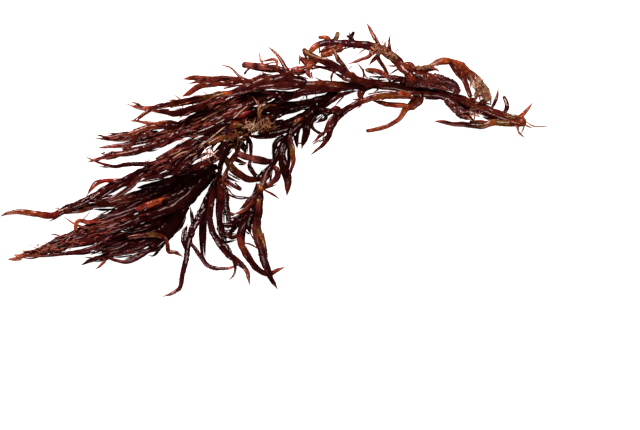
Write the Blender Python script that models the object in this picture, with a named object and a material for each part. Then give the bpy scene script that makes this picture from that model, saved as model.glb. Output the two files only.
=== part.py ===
"""Red hornweed: one cut sprig of a wet, dark red seaweed, lying flat on the surface it rests on.

The sprig is drawn in plan, seen from above, as strands: the main axis, its forks and every blade.
Each strand is a tapering tube through its route. The fronds are then laid down one after another,
and each lies on whatever is already there, as a wet plant does, so no frond passes through another.
Metres, +Z up. The origin is under the middle of the sprig, on the surface that carries it.
"""

import math
import random
from dataclasses import dataclass, field

import bmesh
import bpy
import numpy as np
from mathutils import Vector

MM = 0.001

# Driving sizes of the plant, in metres.
AXIS_SIDES = 6                  # flat sides of the main axis
BLADE_SIDES = 5                 # flat sides of a blade, one of them underneath
TWIG_SIDES = 3                  # flat sides of a small branchlet or a hair-thin spine
RING_STEP = 5.0 * MM            # longest straight run between two rings of a strand
RING_STEP_LEAST = 1.3 * MM      # shortest one, on a sharp bend
RING_TURN = math.radians(24)    # how far a strand may turn between two rings
THINNEST = 0.3 * MM             # half the least thickness of any strand
BLADE_FLATNESS = 0.62           # thickness over width of a blade
AXIS_FLATNESS = 0.86            # thickness over width of a round axis
SPRIG_CENTRE = (0.5 * MM, -0.5 * MM)   # middle of the drawn outline, which becomes the origin

# How the fronds lie on each other.
HEAP_CELL = 0.5 * MM            # grid that remembers how high the heap is
HEAP_HALF_SIZE = (125 * MM, 70 * MM)
LAYER_GAP = 0.35 * MM           # air between two fronds that cross
SLOPE = 0.42                    # steepest climb or fall of a strand over what it lies on
STEEP_SLOPE = 0.9               # steepest climb straight from the parent strand
SETTLE = 0.02 * MM              # each strand of a frond sits this much higher than the last
SINK = 0.5                      # share of its own half height that a strand sinks into its own frond
PILE_MOST = 2.4 * MM            # how far a frond's strands may pile up on its other strands


@dataclass
class Strand:
    """One blade, spine or axis: its route in plan in millimetres, and its full width there."""

    route: list
    width: object               # millimetres, one number or several spread along the strand
    on: int = -1                # the strand of the same frond that it grows from, or -1
    blunt: bool = False         # a cut or worn end in place of a drawn-out point
    flatness: float = BLADE_FLATNESS
    sides: int = BLADE_SIDES
    at: int = 0                 # the parent's ring that it grows from
    plan: list = field(default_factory=list)
    arc: list = field(default_factory=list)
    half_width: list = field(default_factory=list)
    height: list = field(default_factory=list)


@dataclass
class Frond:
    """A part of the plant that holds together as one body, with its own colour."""

    name: str
    colour: str
    strands: list
    branchlets: list = field(default_factory=list)


@dataclass
class Branchlets:
    """Small side blades along one strand, alternate left and right, drawn with a seed."""

    on: int
    count: int
    length: float               # millimetres
    seed: int
    first: float = 0.12         # where along the strand they start and stop
    last: float = 0.9
    spread: float = 24.0        # degrees from the strand's own direction
    width: float = 1.1          # millimetres


COLOURS = {
    # base colour, roughness
    "wine": ((0.060, 0.008, 0.009), 0.24),
    "russet": ((0.150, 0.030, 0.014), 0.26),
    "amber": ((0.330, 0.085, 0.020), 0.28),
    "straw": ((0.400, 0.270, 0.150), 0.42),
}


def fronds():
    """Every frond of the sprig, in the order in which they lie on each other, lowest first."""
    S = Strand
    return [
        Frond("frond_under", "wine", [
            S([(-24.4, -5.4), (-31.6, -12.6), (-40.2, -21.4), (-48, -28), (-57, -31.6), (-65, -34), (-70, -36.4),
               (-73.8, -34.8)], (2.4, 4.4, 4.6, 3.6, 2.4, 1.4)),
            S([(-26.6, -7.6), (-36, -16.6), (-42.4, -24.8), (-48.4, -31.4), (-55, -35.6), (-63, -38.4), (-70, -40.6),
               (-76, -42.3), (-81.2, -44.7)], (2.2, 4.2, 4.6, 4.2, 3.4, 2.2, 1.2), on=0),
            S([(-38, -20.4), (-42.6, -28.4), (-47.4, -33.8), (-52.4, -37.8), (-58, -41.4)], 2.8, on=1),
            S([(-42, -27), (-48, -34.8), (-54, -39.6), (-57.6, -42), (-61.4, -43.4), (-66, -43),
               (-70.4, -41.6), (-74, -42), (-80.2, -41.4)], 1.8, on=1),
            S([(-69, -41), (-71.8, -43.8), (-75.6, -47)], 1.4, on=3),
            S([(-45, -31), (-52, -37.4), (-57.5, -40.2), (-62.8, -42.2)], 1.5, on=1),
            S([(-41, -23), (-48, -29.6), (-57, -32), (-65, -31.3), (-71.8, -31.5)], 2.2, on=0),
            S([(-35, -16), (-41, -25), (-45.8, -31.4), (-49.6, -36)], 3.8, on=0),
            S([(-55, -35), (-61, -36.2), (-67, -38.6), (-72, -38.4), (-77.4, -38.2)], 2.6, on=1),
        ], [Branchlets(1, 6, 9, 11, spread=12), Branchlets(0, 6, 9, 12, spread=12)]),
        Frond("frond_long", "wine", [
            S([(-24, -3), (-32, -7.2), (-40, -11.2), (-48, -15), (-56, -18.8), (-64, -22.8), (-72, -26.8),
               (-80, -30.4), (-88, -34), (-96, -37.4), (-103, -40.2), (-108, -41.8), (-112.4, -42.3)],
              (2.4, 4.4, 4.8, 4.6, 4.6, 4.4, 3.4, 2.0, 0.8)),
            S([(-25, -2), (-34, -6), (-43, -9.4), (-51, -11.4), (-57.8, -12.3)], (2.2, 3.6, 3.8, 3.2, 1.4), on=0),
            S([(-30, -6.5), (-38, -14), (-47, -18), (-57, -21.2), (-67, -24.1), (-75.6, -26.8)], 3.2, on=0),
            S([(-30, -6.5), (-38, -17.4), (-47, -22.4), (-57, -25.6), (-67, -28.6), (-77, -32), (-87, -36),
               (-96, -39.2), (-104, -41.4)], 3.8, on=0),
            S([(-50, -17), (-60, -23), (-69, -26.6), (-78, -29.6), (-86, -32.4), (-93.2, -33.2)], 2.2, on=0),
            S([(-60, -26.6), (-70, -32.6), (-79, -35.2), (-88, -36.8), (-99.8, -37.5)], 2.4, on=3),
            S([(-62, -27.2), (-71, -34.8), (-80, -38.8), (-87, -39.8), (-96, -40.9), (-104, -41.4)], 2.0, on=3),
            S([(-77, -29.4), (-82.4, -28.2), (-88.5, -24.5)], 1.0, on=4),
            S([(-99, -38.6), (-103, -39.4), (-106.4, -39.0)], 1.0, on=0, sides=TWIG_SIDES),
            S([(-103, -40.2), (-107, -41.2), (-110, -40.3)], 1.1, on=0, sides=TWIG_SIDES),
            S([(-103, -40.2), (-106.5, -41.7), (-108.6, -43.1)], 1.1, on=0, sides=TWIG_SIDES),
            S([(-42, -12), (-51, -14.4), (-60, -17), (-69, -19), (-78, -20), (-89, -22.4)], 3.0, on=0),
            S([(-36, -9), (-44, -15.6), (-50, -19.6), (-60, -27), (-70, -30.4), (-80, -33)], 3.4, on=0),
            S([(-31, -7), (-36, -12.4), (-41.5, -16.4), (-48, -19.8)], 3.0, on=0),
        ], [Branchlets(0, 9, 9, 21, first=0.3, spread=13), Branchlets(3, 8, 9, 22, first=0.3, spread=13),
            Branchlets(11, 6, 8, 23, spread=12)]),
        Frond("drooping_frond_left", "wine", [
            S([(-22.5, -5), (-25.4, -11), (-28.5, -18), (-31.5, -24), (-34.4, -30), (-36.2, -36),
               (-37, -42), (-38.5, -48), (-39.6, -54), (-42, -56.1), (-46.9, -58.1)],
              (1.8, 2.9, 3.0, 3.2, 2.3, 2.2, 1.9, 1.0)),
            S([(-36, -35), (-33, -38.4), (-30.5, -41.8), (-28.3, -44.7), (-25, -46), (-20.5, -46.2),
               (-16.5, -45.2), (-13.8, -43.9)], 1.9, on=0),
            S([(-28, -16), (-29.6, -22), (-30.5, -28), (-30.7, -34), (-30.3, -40), (-29, -44)], 2.2, on=0),
            S([(-27, -14), (-28.4, -21), (-29.2, -28), (-29.3, -35), (-29.2, -42)], 1.7, on=0),
            S([(-34.2, -29), (-34.6, -24.2), (-35.4, -19.8)], 1.7, on=0),
            S([(-36, -37.2), (-38.2, -34.8), (-38.1, -30.8), (-36.2, -27.4)], 1.9, on=0),
        ], [Branchlets(0, 4, 5, 31, last=0.5, spread=20)]),
        Frond("drooping_frond_middle", "wine", [
            S([(-23.4, -6), (-25.4, -13), (-26.6, -20), (-26.9, -27.3), (-25.2, -32), (-22.1, -36.9),
               (-18.5, -40.9), (-14.8, -43.8), (-11.6, -47.2), (-10.5, -53.3)],
              (1.8, 2.6, 2.5, 2.8, 3.0, 2.2, 1.2)),
            S([(-23, -34), (-20.2, -37.2), (-17.7, -41.6), (-16.4, -45.8), (-17.2, -49), (-19.3, -51.3)],
              (2.6, 2.2, 1.2, 1.0, 0.8), on=0),
            S([(-24, -8), (-23.6, -16), (-23.6, -24), (-23.3, -30.6), (-22.6, -34)], 2.2, on=0),
            S([(-24, -8), (-20.8, -14), (-20.2, -20), (-19, -25.4), (-16.9, -30.4)], 3.0, on=0),
            S([(-22.6, -31.8), (-19, -28), (-15.6, -25.4)], 2.4, on=2, blunt=True),
            S([(-22.6, -34.2), (-18.4, -33), (-14.9, -32)], 2.0, on=2, blunt=True),
        ], [Branchlets(3, 4, 5, 41, spread=18)]),
        Frond("crossing_frond", "russet", [
            S([(-22.4, 1.4), (-19.4, -1.4), (-17.3, -4.8), (-13.6, -7.2), (-9.8, -9.0), (-6.0, -8.6),
               (-3.2, -8.6)], (2.0, 3.0, 3.2, 3.0, 2.4, 1.6), blunt=True),
            S([(-19.2, -1.6), (-15.8, 1.6), (-12.2, 0.7), (-8, -0.1), (-3.6, -1.1), (0.8, -1.7)],
              (2.2, 2.6, 2.8, 2.8, 1.8), on=0, blunt=True),
            S([(-12.2, 0.6), (-10.4, -3.6), (-7.6, -8)], 1.8, on=1, blunt=True),
            S([(-16, 1.4), (-15.4, 5), (-17.6, 9)], 2.6, on=1, blunt=True),
            S([(-12, 0.8), (-9.9, 3.8), (-10.3, 7), (-12.6, 10.4)], 1.8, on=1, blunt=True),
            S([(-20.4, -3), (-20, -7.1), (-17.4, -9), (-14.2, -10.2)], 1.3, on=0),
            S([(-20.8, -2.6), (-20.6, -8.4), (-17, -11.5), (-13.7, -13.4)], 1.7, on=0, blunt=True),
            S([(-21.2, -2), (-21.6, -9), (-17.4, -12.9)], 1.0, on=0, sides=TWIG_SIDES),
            S([(-21.4, -1.6), (-21.4, -12.4), (-17.6, -16), (-13.2, -16.9), (-8.8, -15.8)], 1.0, on=0,
              sides=TWIG_SIDES),
        ]),
        Frond("side_axis", "wine", [
            S([(27, 29), (22.8, 26), (19.4, 21.8), (14, 16.6), (8.4, 12), (3.8, 6.4), (1, 0.6), (-2.1, -4.8),
               (-4.6, -9.7), (-6.6, -14.4), (-8.4, -19.6), (-11, -24.4), (-13.7, -29), (-14.4, -34),
               (-12.4, -39.2), (-9.6, -43.6), (-6.3, -47.1), (-2.6, -48.7), (0.4, -47.2), (4.4, -45.6)],
              (3.4, 3.6, 3.0, 2.6, 2.6, 2.8, 2.8, 3.0, 2.4, 1.2), flatness=0.75),
            S([(-6.4, -14), (-9.6, -18.8), (-13, -21.8), (-17.9, -23.9)], 2.0, on=0),
            S([(-6.4, -14), (-6.6, -21), (-7.4, -27), (-7.2, -32), (-5.5, -37), (-4.5, -42), (-3, -46.6),
               (-1.2, -50.8), (1.3, -54.9)], (2.4, 3.6, 3.6, 4.2, 3.6, 2.6, 1.2), on=0),
            S([(-8, -17.6), (-9.8, -23), (-10.8, -28.6), (-9.6, -32.6)], 3.4, on=0),
            S([(-14, -36.4), (-9.8, -36.1), (-6, -38.6)], 0.8, on=0, sides=TWIG_SIDES),
            S([(-0.8, -2.4), (1.1, -4.8), (1.2, -8), (-1, -10.2), (-4.6, -11.8)], 2.5, on=0, blunt=True),
            S([(-4.8, -11), (-0.4, -15.2), (2.4, -17.4)], 1.1, on=0),
            S([(9, 12.4), (5, 7.6), (3.3, 3), (3.5, -1.4), (4.8, -6), (5.7, -10), (5.2, -15.8)],
              (2.4, 3.0, 3.0, 3.8, 4.0, 2.8, 1.2), on=0),
            S([(15.6, 18), (13.8, 13.4), (13, 9.4), (11.8, 5.6), (11.3, 3.6)], 3.4, on=0),
            S([(13, 15.6), (9.6, 9.6), (9.8, 4.3)], 1.5, on=0),
            S([(20.4, 22), (16, 20), (13, 16.8), (9, 14.8), (3, 13.4), (-3, 11.4), (-8, 10.2)], 3.6, on=0),
            S([(22.6, 25.6), (17, 24.2), (10, 22.2), (3, 20.3), (-4, 17)], 3.2, on=0),
            S([(20, 21), (21.6, 17.4), (19.6, 15.8), (16.7, 14.8)], 1.6, on=0),
            S([(20, 22.4), (17.4, 18), (15.5, 14.2), (17.4, 11.6), (20.2, 10)], 1.6, on=0, blunt=True),
        ], [Branchlets(0, 5, 7, 51, last=0.5, spread=26), Branchlets(11, 4, 7, 52, spread=22)]),
        Frond("side_axis_edge", "amber", [
            S([(7.4, 13), (6.6, 8), (7.7, 3), (7.9, -1.6), (6.9, -5.2), (5.9, -9)], 2.2),
            S([(7.4, 13), (9, 15.4), (12, 17.2)], 1.8, on=0, blunt=True),
        ]),
        Frond("drooping_edge", "amber", [
            S([(-6.4, -17), (-6.8, -24), (-6.5, -30), (-4.6, -34.4), (-3.6, -40)], 2.2),
            S([(-6.4, -17), (-5.7, -12.6), (-7.4, -10.8)], 2.0, on=0, blunt=True),
        ]),
        Frond("main_axis", "wine", [
            S([(105.8, 15.3), (100, 16.2), (94, 18.5), (88, 20.9), (82, 23.2), (76, 25.3), (69, 26.9),
               (62, 27.8), (55, 29.2), (48, 30.5), (40, 30.9), (31, 30.2), (21, 29.3), (11, 27.6), (2, 24.2),
               (-6, 19), (-13, 13), (-18, 6.5), (-21.5, 0), (-23.4, -6)],
              (4.2, 3.4, 3.7, 3.9, 3.4, 3.1, 3.4, 3.2, 3.0, 2.6, 2.0), blunt=True, flatness=AXIS_FLATNESS,
              sides=AXIS_SIDES),
            S([(103, 15.6), (97.5, 14.8), (91.5, 15), (87, 13.7), (81, 14.2), (75, 14.5), (70.5, 15.4),
               (66.7, 15.8)], (2.2, 2.4, 2.6, 2.7, 2.3, 1.9, 1.7, 0.9), on=0),
            S([(91, 19.6), (93, 24.5), (94.1, 29.9)], 1.5, on=0),
            S([(98, 17.2), (97.7, 21.8), (96.2, 26.4)], 1.9, on=0, blunt=True),
            S([(99, 16.8), (105.1, 19.3), (108.7, 23.8)], 1.8, on=0),
            S([(104.4, 15.4), (109.5, 13.4), (116.4, 13.8)], 0.7, on=0, sides=TWIG_SIDES),
            S([(103, 15.6), (102.5, 11.4), (105.4, 8.4)], 0.7, on=0, sides=TWIG_SIDES),
            S([(36.6, 30.6), (36, 27.6), (36.6, 24.8)], 2.7, on=0, blunt=True),
            S([(31, 30.2), (24, 31.2), (16, 31.6), (9, 32.5)], 2.8, on=0),
        ], [Branchlets(0, 7, 4, 61, first=0.42, last=0.62, spread=62, width=0.9)]),
        Frond("folded_blade_lower", "wine", [
            S([(71.4, 25.6), (74.3, 22.7), (78.3, 19.3), (83.8, 15.9)], (2.4, 3.8, 3.8, 1.4)),
            S([(72.4, 25), (77.6, 21.4), (82.2, 19), (87.6, 16.8)], 1.4, on=0),
        ]),
        Frond("folded_blade_upper", "wine", [
            S([(52.5, 31.8), (58, 33.1), (64, 33.5), (70, 32.7), (74.8, 30.5), (77.4, 27)],
              (2.4, 4.0, 4.5, 4.7, 4.4, 2.8), blunt=True, flatness=0.5),
            S([(55, 32.4), (62, 30.9), (69, 30.1), (74.6, 28)], 2.8, on=0),
        ]),
        Frond("amber_branchlet", "amber", [
            S([(59.6, 27.4), (60.7, 24.8), (58.2, 22.4), (55, 20.6), (52.6, 16.9), (48.3, 14.1), (43.4, 12.4),
               (38.3, 11.6)], (3.0, 4.2, 3.0, 2.0, 1.9, 1.9, 1.8, 1.5), blunt=True),
            S([(57.8, 22.9), (50.4, 22.4), (45.6, 23.2), (41, 24.3)], (1.6, 2.2, 2.1, 1.2), on=0),
        ]),
        Frond("side_branch", "russet", [
            S([(57.6, 26.6), (51.5, 26.9), (46, 26.1), (40.5, 25.3), (35, 23.2), (30.4, 20.6), (26.5, 17.4),
               (23.8, 13.6), (22.9, 9.6), (20.2, 5.6), (15.1, 1.4)],
              (1.8, 2.6, 2.6, 2.4, 2.6, 3.0, 3.2, 2.4, 1.4, 0.9)),
            S([(23.6, 11.8), (19.6, 10), (17.4, 7.7), (15.5, 6.4)], 1.5, on=0),
            S([(25.6, 14.6), (23.6, 12.4), (21, 10.8)], 2.4, on=0),
            S([(29, 19.4), (25.6, 20.4), (22, 18.4)], 2.6, on=0),
            S([(28.6, 19), (26.4, 21), (22.6, 20.6)], 2.2, on=0),
        ], [Branchlets(0, 4, 4, 71, last=0.5, spread=30, width=0.9)]),
        Frond("frond_tangled", "russet", [
            S([(2.6, 20.8), (-1.6, 17.4), (-7, 14.2), (-13, 12), (-20, 9.6), (-27, 7), (-31.4, 5.2)],
              (2.4, 4.2, 4.6, 4.4, 3.4, 1.4)),
            S([(1, 19.6), (-5, 20.5), (-12, 18.6), (-19, 15), (-25, 11.6), (-31.5, 9.4)], 3.4, on=0),
            S([(-8, 13), (-12, 9), (-14.8, 5), (-16.4, 1.4)], 2.4, on=0),
            S([(-23, 8.6), (-26, 4.6), (-24.6, 1.4)], 1.2, on=0, sides=TWIG_SIDES),
            S([(-20, 9.6), (-22.6, 5.4), (-26.4, 1.8)], 1.2, on=0, sides=TWIG_SIDES),
        ], [Branchlets(0, 5, 6, 81, spread=26)]),
        Frond("frond_left", "wine", [
            S([(-5, 17), (-14, 13.6), (-22, 11.2), (-29, 7.6), (-36, 4.2), (-43, 0.6), (-49, -2.6),
               (-55, -5.8), (-61, -8.8), (-67, -11.6), (-73, -14.8), (-79, -17.6), (-85, -20.4),
               (-90, -22.7), (-94.6, -24), (-101, -23), (-108, -22.4), (-112, -22.9), (-115.3, -24.4)],
              (2.2, 3.2, 3.6, 3.6, 3.4, 3.6, 4.2, 3.8, 2.8, 2.7, 2.7, 2.4, 1.0)),
            S([(-61, -8.8), (-66.8, -9.2), (-72.2, -9.6), (-76.2, -12.2), (-79.3, -16.3)], 1.7, on=0),
            S([(-55, -6), (-61, -12.5), (-65, -15), (-69, -17), (-78, -18.5)], 2.1, on=0),
            S([(-52, -4.4), (-58.4, -9.4), (-62.6, -13.8)], 1.8, on=0),
            S([(-41, 1.8), (-50, -1.9), (-56, -2.4), (-62, -2.6), (-66, -3.4), (-70, -2.9), (-75, -1.2),
               (-79.3, 0.8)], 1.9, on=0),
            S([(-27, 8.8), (-34, 6.8), (-40, 3.6), (-46, 0.2), (-53, -3.6)], 2.0, on=0),
            S([(-25, 9.4), (-34, 2.4), (-42, -1.8), (-50, -5.4), (-58, -8.8)], 2.8, on=0),
            S([(-25, 9.6), (-30.8, 3.6), (-35, -1), (-40, -4.4), (-46, -6.8), (-52, -8.2), (-57.4, -10.2)], 2.8, on=0),
            S([(-91, -23), (-90.6, -20.9), (-92.6, -21.2)], 0.7, on=0, sides=TWIG_SIDES),
            S([(-20.6, 10.6), (-20.6, 6), (-22.6, 2), (-26.6, -1), (-32, -3.2), (-38, -5.2), (-45, -7.4)], 3.2, on=0),
        ], [Branchlets(0, 9, 8, 91, first=0.2, last=0.62, spread=12), Branchlets(6, 5, 7, 92, spread=12)]),
        Frond("frond_upper_left", "wine", [
            S([(8, 26.6), (-3, 26.6), (-11, 25.4), (-19, 22.6), (-27, 19.4), (-34, 16.2), (-41, 12.6),
               (-47, 9.6), (-53, 8.0), (-58, 7.0), (-63, 5.6), (-68, 5.2), (-74.4, 4.4)],
              (2.6, 3.8, 4.4, 4.6, 4.6, 4.2, 3.0, 2.0, 0.8)),
            S([(-37, 14.6), (-44, 8.4), (-50, 5.6), (-56, 3.9), (-62, 2.6), (-66, 1.6), (-71, 0.4),
               (-76, -0.6), (-78.3, -1.5)], (2.4, 3.2, 3.0, 3.0, 2.2, 1.4, 0.8), on=0),
            S([(-47, 9.6), (-54, 10), (-60, 8.6), (-66, 8.0), (-75.6, 8.5)], 2.1, on=0),
            S([(-38, 14.2), (-45, 13.7), (-51, 13.2), (-56, 12.1), (-60, 10.4), (-65, 9.7), (-69.4, 8.9),
               (-72.6, 9.7)], (2.2, 2.8, 2.6, 2.4, 2.2, 1.8, 0.8), on=0),
            S([(-41, 13.4), (-48, 14.4), (-54, 15), (-58, 15.7), (-62, 15.7)], 1.5, on=3),
            S([(-38, 14.2), (-42, 15.1), (-45.8, 15.4), (-49, 15)], 1.6, on=3, blunt=True),
            S([(-56, 12.8), (-58, 9.4), (-60, 5.8), (-63.4, 3.2)], 2.0, on=3),
            S([(-12, 25.4), (-20, 19.6), (-28, 15.4), (-36, 11.4), (-42, 8.8)], 3.0, on=0),
            S([(2, 26.6), (-8, 23.4), (-16, 20), (-22, 16.6), (-28, 13), (-34, 10.6), (-40, 8.2), (-44, 6)],
              2.4, on=0),
        ], [Branchlets(0, 8, 8, 101, first=0.25, spread=14), Branchlets(3, 6, 6, 102, spread=18),
            Branchlets(1, 5, 6, 103, spread=15)]),
        Frond("frond_top", "russet", [
            S([(14, 31.4), (5, 33.2), (-4, 32.2), (-11, 29.6), (-18, 27.4), (-25, 26.2), (-32, 24.9),
               (-38, 24.1), (-44, 22.7), (-49.5, 21.5), (-53.6, 19.5), (-56.2, 17.4), (-58, 15.5)],
              (2.8, 4.2, 4.2, 3.6, 2.4, 2.2, 2.4, 2.2, 1.8, 1.0)),
            S([(-8, 30.8), (-15, 32.8), (-22, 33.4), (-28, 33.2), (-33, 33.8), (-38.6, 33.2)],
              (2.2, 2.6, 2.4, 2.4, 2.6, 1.0), on=0),
            S([(-13, 31.6), (-20, 31.1), (-26, 31.2), (-31, 32.1), (-36.8, 31.2)], 1.9, on=1),
            S([(-25, 31.2), (-29, 30.6), (-32.4, 29.6), (-35.4, 27.6), (-38.6, 25.8)], (1.8, 2.4, 2.6, 2.4, 1.6), on=2),
            S([(-49, 21.6), (-55, 21), (-61.7, 22.7)], 2.2, on=0),
            S([(-20, 27), (-29, 22.3), (-36, 20.1), (-42, 18.8), (-48, 19.7), (-53.5, 20.2)], 3.2, on=0),
            S([(9, 32.4), (6, 35.6), (1, 37.4), (-5, 38.4), (-10, 38.9), (-13.8, 39.3)],
              (2.0, 2.6, 2.8, 2.7, 2.8, 2.4), on=0, blunt=True),
            S([(-10, 38.9), (-11.6, 36.8), (-12.7, 35.0)], 1.3, on=6, blunt=True),
            S([(9, 32.4), (4.4, 38.3), (1.6, 43), (-3.1, 47.2)], 1.9, on=0),
            S([(-9.6, 30.4), (-14.5, 34.3), (-18.2, 37.9), (-22.8, 39.2)], 1.1, on=0, sides=TWIG_SIDES),
            S([(-5, 38.4), (-5.9, 41.8), (-6.2, 45.2)], 0.9, on=6, sides=TWIG_SIDES),
            S([(-36, 25), (-40, 25.2), (-42.9, 27.3)], 0.8, on=0, sides=TWIG_SIDES),
            S([(12, 31.6), (9, 30.4), (4, 30), (-3, 30), (-9, 29.2)], 3.0, on=0),
        ], [Branchlets(0, 8, 6, 111, first=0.3, spread=20), Branchlets(1, 5, 4, 112, spread=22)]),
        Frond("amber_loop", "amber", [
            S([(0.6, 37.6), (1.2, 40), (-0.4, 41.4), (-6.2, 40.4)], 1.3, sides=TWIG_SIDES),
        ]),
        Frond("fork_axis", "wine", [
            S([(42, 31.8), (36, 32.8), (30.6, 35.4), (26.8, 37.9), (22, 40.1), (17, 42.2), (11.7, 45.9)],
              (2.0, 2.6, 2.8, 3.0, 2.8, 2.6, 1.8), blunt=True),
            S([(31, 35.8), (28, 40.2), (25.8, 43.6), (24.4, 45.6)], 1.7, on=0, blunt=True),
            S([(20, 41), (15.6, 39.6), (12.9, 37.4)], 3.8, on=0, blunt=True),
            S([(13.2, 38), (14.2, 35.4), (15.6, 33.0)], 2.2, on=2),
            S([(14.6, 38.8), (12, 40.6), (10.2, 43.5)], 2.4, on=2),
            S([(30, 36.2), (25, 36.9), (20, 38.2), (15, 39)], 1.6, on=0),
            S([(25, 36.9), (24.0, 34.6), (23.9, 31.2)], 1.1, on=5, sides=TWIG_SIDES),
            S([(38.6, 32.8), (37.3, 36.3), (34.5, 40.6)], 0.8, on=0, sides=TWIG_SIDES),
            S([(14.2, 37.8), (10, 37.1), (5.6, 37.8)], 2.8, on=2),
        ], [Branchlets(0, 4, 3, 121, spread=50, width=0.8)]),
        Frond("arch_axis", "russet", [
            S([(58.4, 30.4), (56.4, 35.2), (52.6, 39.5), (49, 43), (44.5, 45.7), (38, 47.4), (31, 48.0),
               (24, 48.3), (18.8, 47.7), (14.6, 44.6)], (3.0, 4.0, 4.0, 3.8, 3.6, 3.0, 3.0, 2.8, 2.2),
              blunt=True, flatness=0.75),
            S([(43.2, 46), (41.4, 51.6), (38.4, 57.4)], 1.9, on=0),
            S([(47.5, 44), (48.1, 48.5), (48.8, 52.5)], 1.3, on=0),
            S([(34.5, 47.8), (32.2, 50.3), (33.4, 53.2)], 1.8, on=0, blunt=True),
            S([(32.4, 50.2), (31.2, 50.8), (30.0, 51.4)], 1.5, on=3, blunt=True),
            S([(26.4, 48.4), (26, 50.6), (26.6, 53.2)], 2.2, on=0, blunt=True),
            S([(23.8, 48.2), (22, 50.4), (18.2, 50.6)], 1.9, on=0, blunt=True),
            S([(42, 46), (40.2, 43.2), (36, 41.2), (30.6, 39.4)], 1.7, on=0),
            S([(42.4, 46), (42.0, 41.8), (39.3, 38.8)], 1.8, on=0),
            S([(43, 46), (43.4, 42.4), (45.6, 38.6), (47.8, 35)], 1.7, on=0, blunt=True),
            S([(53.6, 38.4), (50, 38.7), (46.7, 38.9)], 1.3, on=0),
            S([(53.4, 38.6), (56.8, 39.2), (59.6, 37)], 2.4, on=0, blunt=True),
            S([(30, 48), (25, 44.9), (19.2, 42.9)], (2.2, 2.6, 2.0), on=0, blunt=True),
            S([(39, 47), (37.6, 45.6), (34.8, 43.6)], 0.8, on=0, sides=TWIG_SIDES),
        ], [Branchlets(0, 6, 3, 131, first=0.3, last=0.75, spread=60, width=0.8)]),
        Frond("red_blade", "amber", [
            S([(49.6, 33.0), (45, 35.6), (41.6, 36.9), (38.1, 37.1)], 2.2, blunt=True),
        ]),
        Frond("worn_blade", "amber", [
            S([(59.6, 36.6), (64.6, 38.4), (68.6, 40.5), (73, 40.9), (77.8, 39), (81.4, 36), (85.2, 32.3),
               (88.5, 28.2), (89.9, 23.8)], (1.8, 2.0, 2.4, 2.8, 3.4, 3.6, 3.8, 3.6, 2.8), blunt=True,
              flatness=0.45),
            S([(72.6, 41.0), (76, 36.8), (79.4, 33.2), (81.1, 29.0), (82.4, 25.4)], 2.4, on=0, blunt=True),
            S([(83, 35.4), (83.9, 30.6), (85.2, 27.2), (83.6, 23.8)], 1.6, on=0, blunt=True),
            S([(86.4, 31.8), (86.8, 28.0), (88.0, 25.2)], 1.8, on=0, blunt=True),
            S([(84, 30.4), (87.4, 28.6)], 1.3, on=2, blunt=True, sides=TWIG_SIDES),
            S([(66, 39), (67.6, 37.4), (69.3, 36)], 1.8, on=0),
        ]),
        Frond("pale_crust", "straw", [
            S([(57.2, 38), (62, 38.1), (66.6, 38.5)], 1.5, blunt=True),
        ]),
        Frond("amber_strand", "amber", [
            S([(-62, -33.2), (-55.6, -32.4), (-49.6, -32.2), (-46.3, -33.4), (-44.9, -36.2), (-44.4, -39.1),
               (-41.6, -39.5), (-38.2, -41.3)], (1.4, 1.9, 1.9, 1.7, 1.9, 1.2)),
        ]),
        Frond("amber_hook", "amber", [
            S([(-72.9, -25.9), (-77.8, -26.7), (-82.6, -26.3), (-83.6, -30.5)], 1.9, blunt=True),
        ]),
        Frond("amber_scrap", "amber", [
            S([(-58, -21.8), (-53, -19.4), (-48.8, -17.9), (-44.8, -16.2)], 2.8),
        ]),
    ]


def smooth_step(t):
    """0 below t = 0, 1 above t = 1, and a smooth rise between them."""
    t = min(1.0, max(0.0, t))
    return t * t * (3 - 2 * t)


def curve_points(route, per_span=12):
    """A smooth curve through the route's points (Catmull-Rom), as close plan points in metres."""
    points = [Vector((x * MM, y * MM)) for x, y in route]
    ends = [2 * points[0] - points[1], *points, 2 * points[-1] - points[-2]]
    found = []
    for i in range(1, len(ends) - 2):
        a, b, c, d = ends[i - 1:i + 3]
        for k in range(per_span):
            t = k / per_span
            found.append(0.5 * (2 * b + (c - a) * t + (2 * a - 5 * b + 4 * c - d) * t * t
                                + (3 * b - a - 3 * c + d) * t ** 3))
    return [*found, points[-1]]


def ring_places(points):
    """The points of the curve where the strand gets a ring: often on a bend, seldom on a straight."""
    kept, run, turn = [points[0]], 0.0, 0.0
    for i in range(1, len(points) - 1):
        step, following = points[i] - points[i - 1], points[i + 1] - points[i]
        run += step.length
        turn += abs(step.angle_signed(following))
        if run >= RING_STEP or (turn >= RING_TURN and run >= RING_STEP_LEAST):
            kept.append(points[i])
            run, turn = 0.0, 0.0
    if (points[-1] - kept[-1]).length < RING_STEP_LEAST and len(kept) > 2:
        kept.pop()
    return [*kept, points[-1]]


def width_at(strand, t):
    """The strand's full width in metres at the share t of its length."""
    if isinstance(strand.width, (int, float)):
        rise = 0.62 + 0.38 * smooth_step(t / 0.25)
        end = 0.72 if strand.blunt else 0.16
        fall = 1 - (1 - end) * max(0.0, (t - 0.45) / 0.55) ** 1.6
        return strand.width * rise * fall * MM
    place = t * (len(strand.width) - 1)
    low = min(int(place), len(strand.width) - 2)
    share = place - low
    return (strand.width[low] * (1 - share) + strand.width[low + 1] * share) * MM


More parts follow.
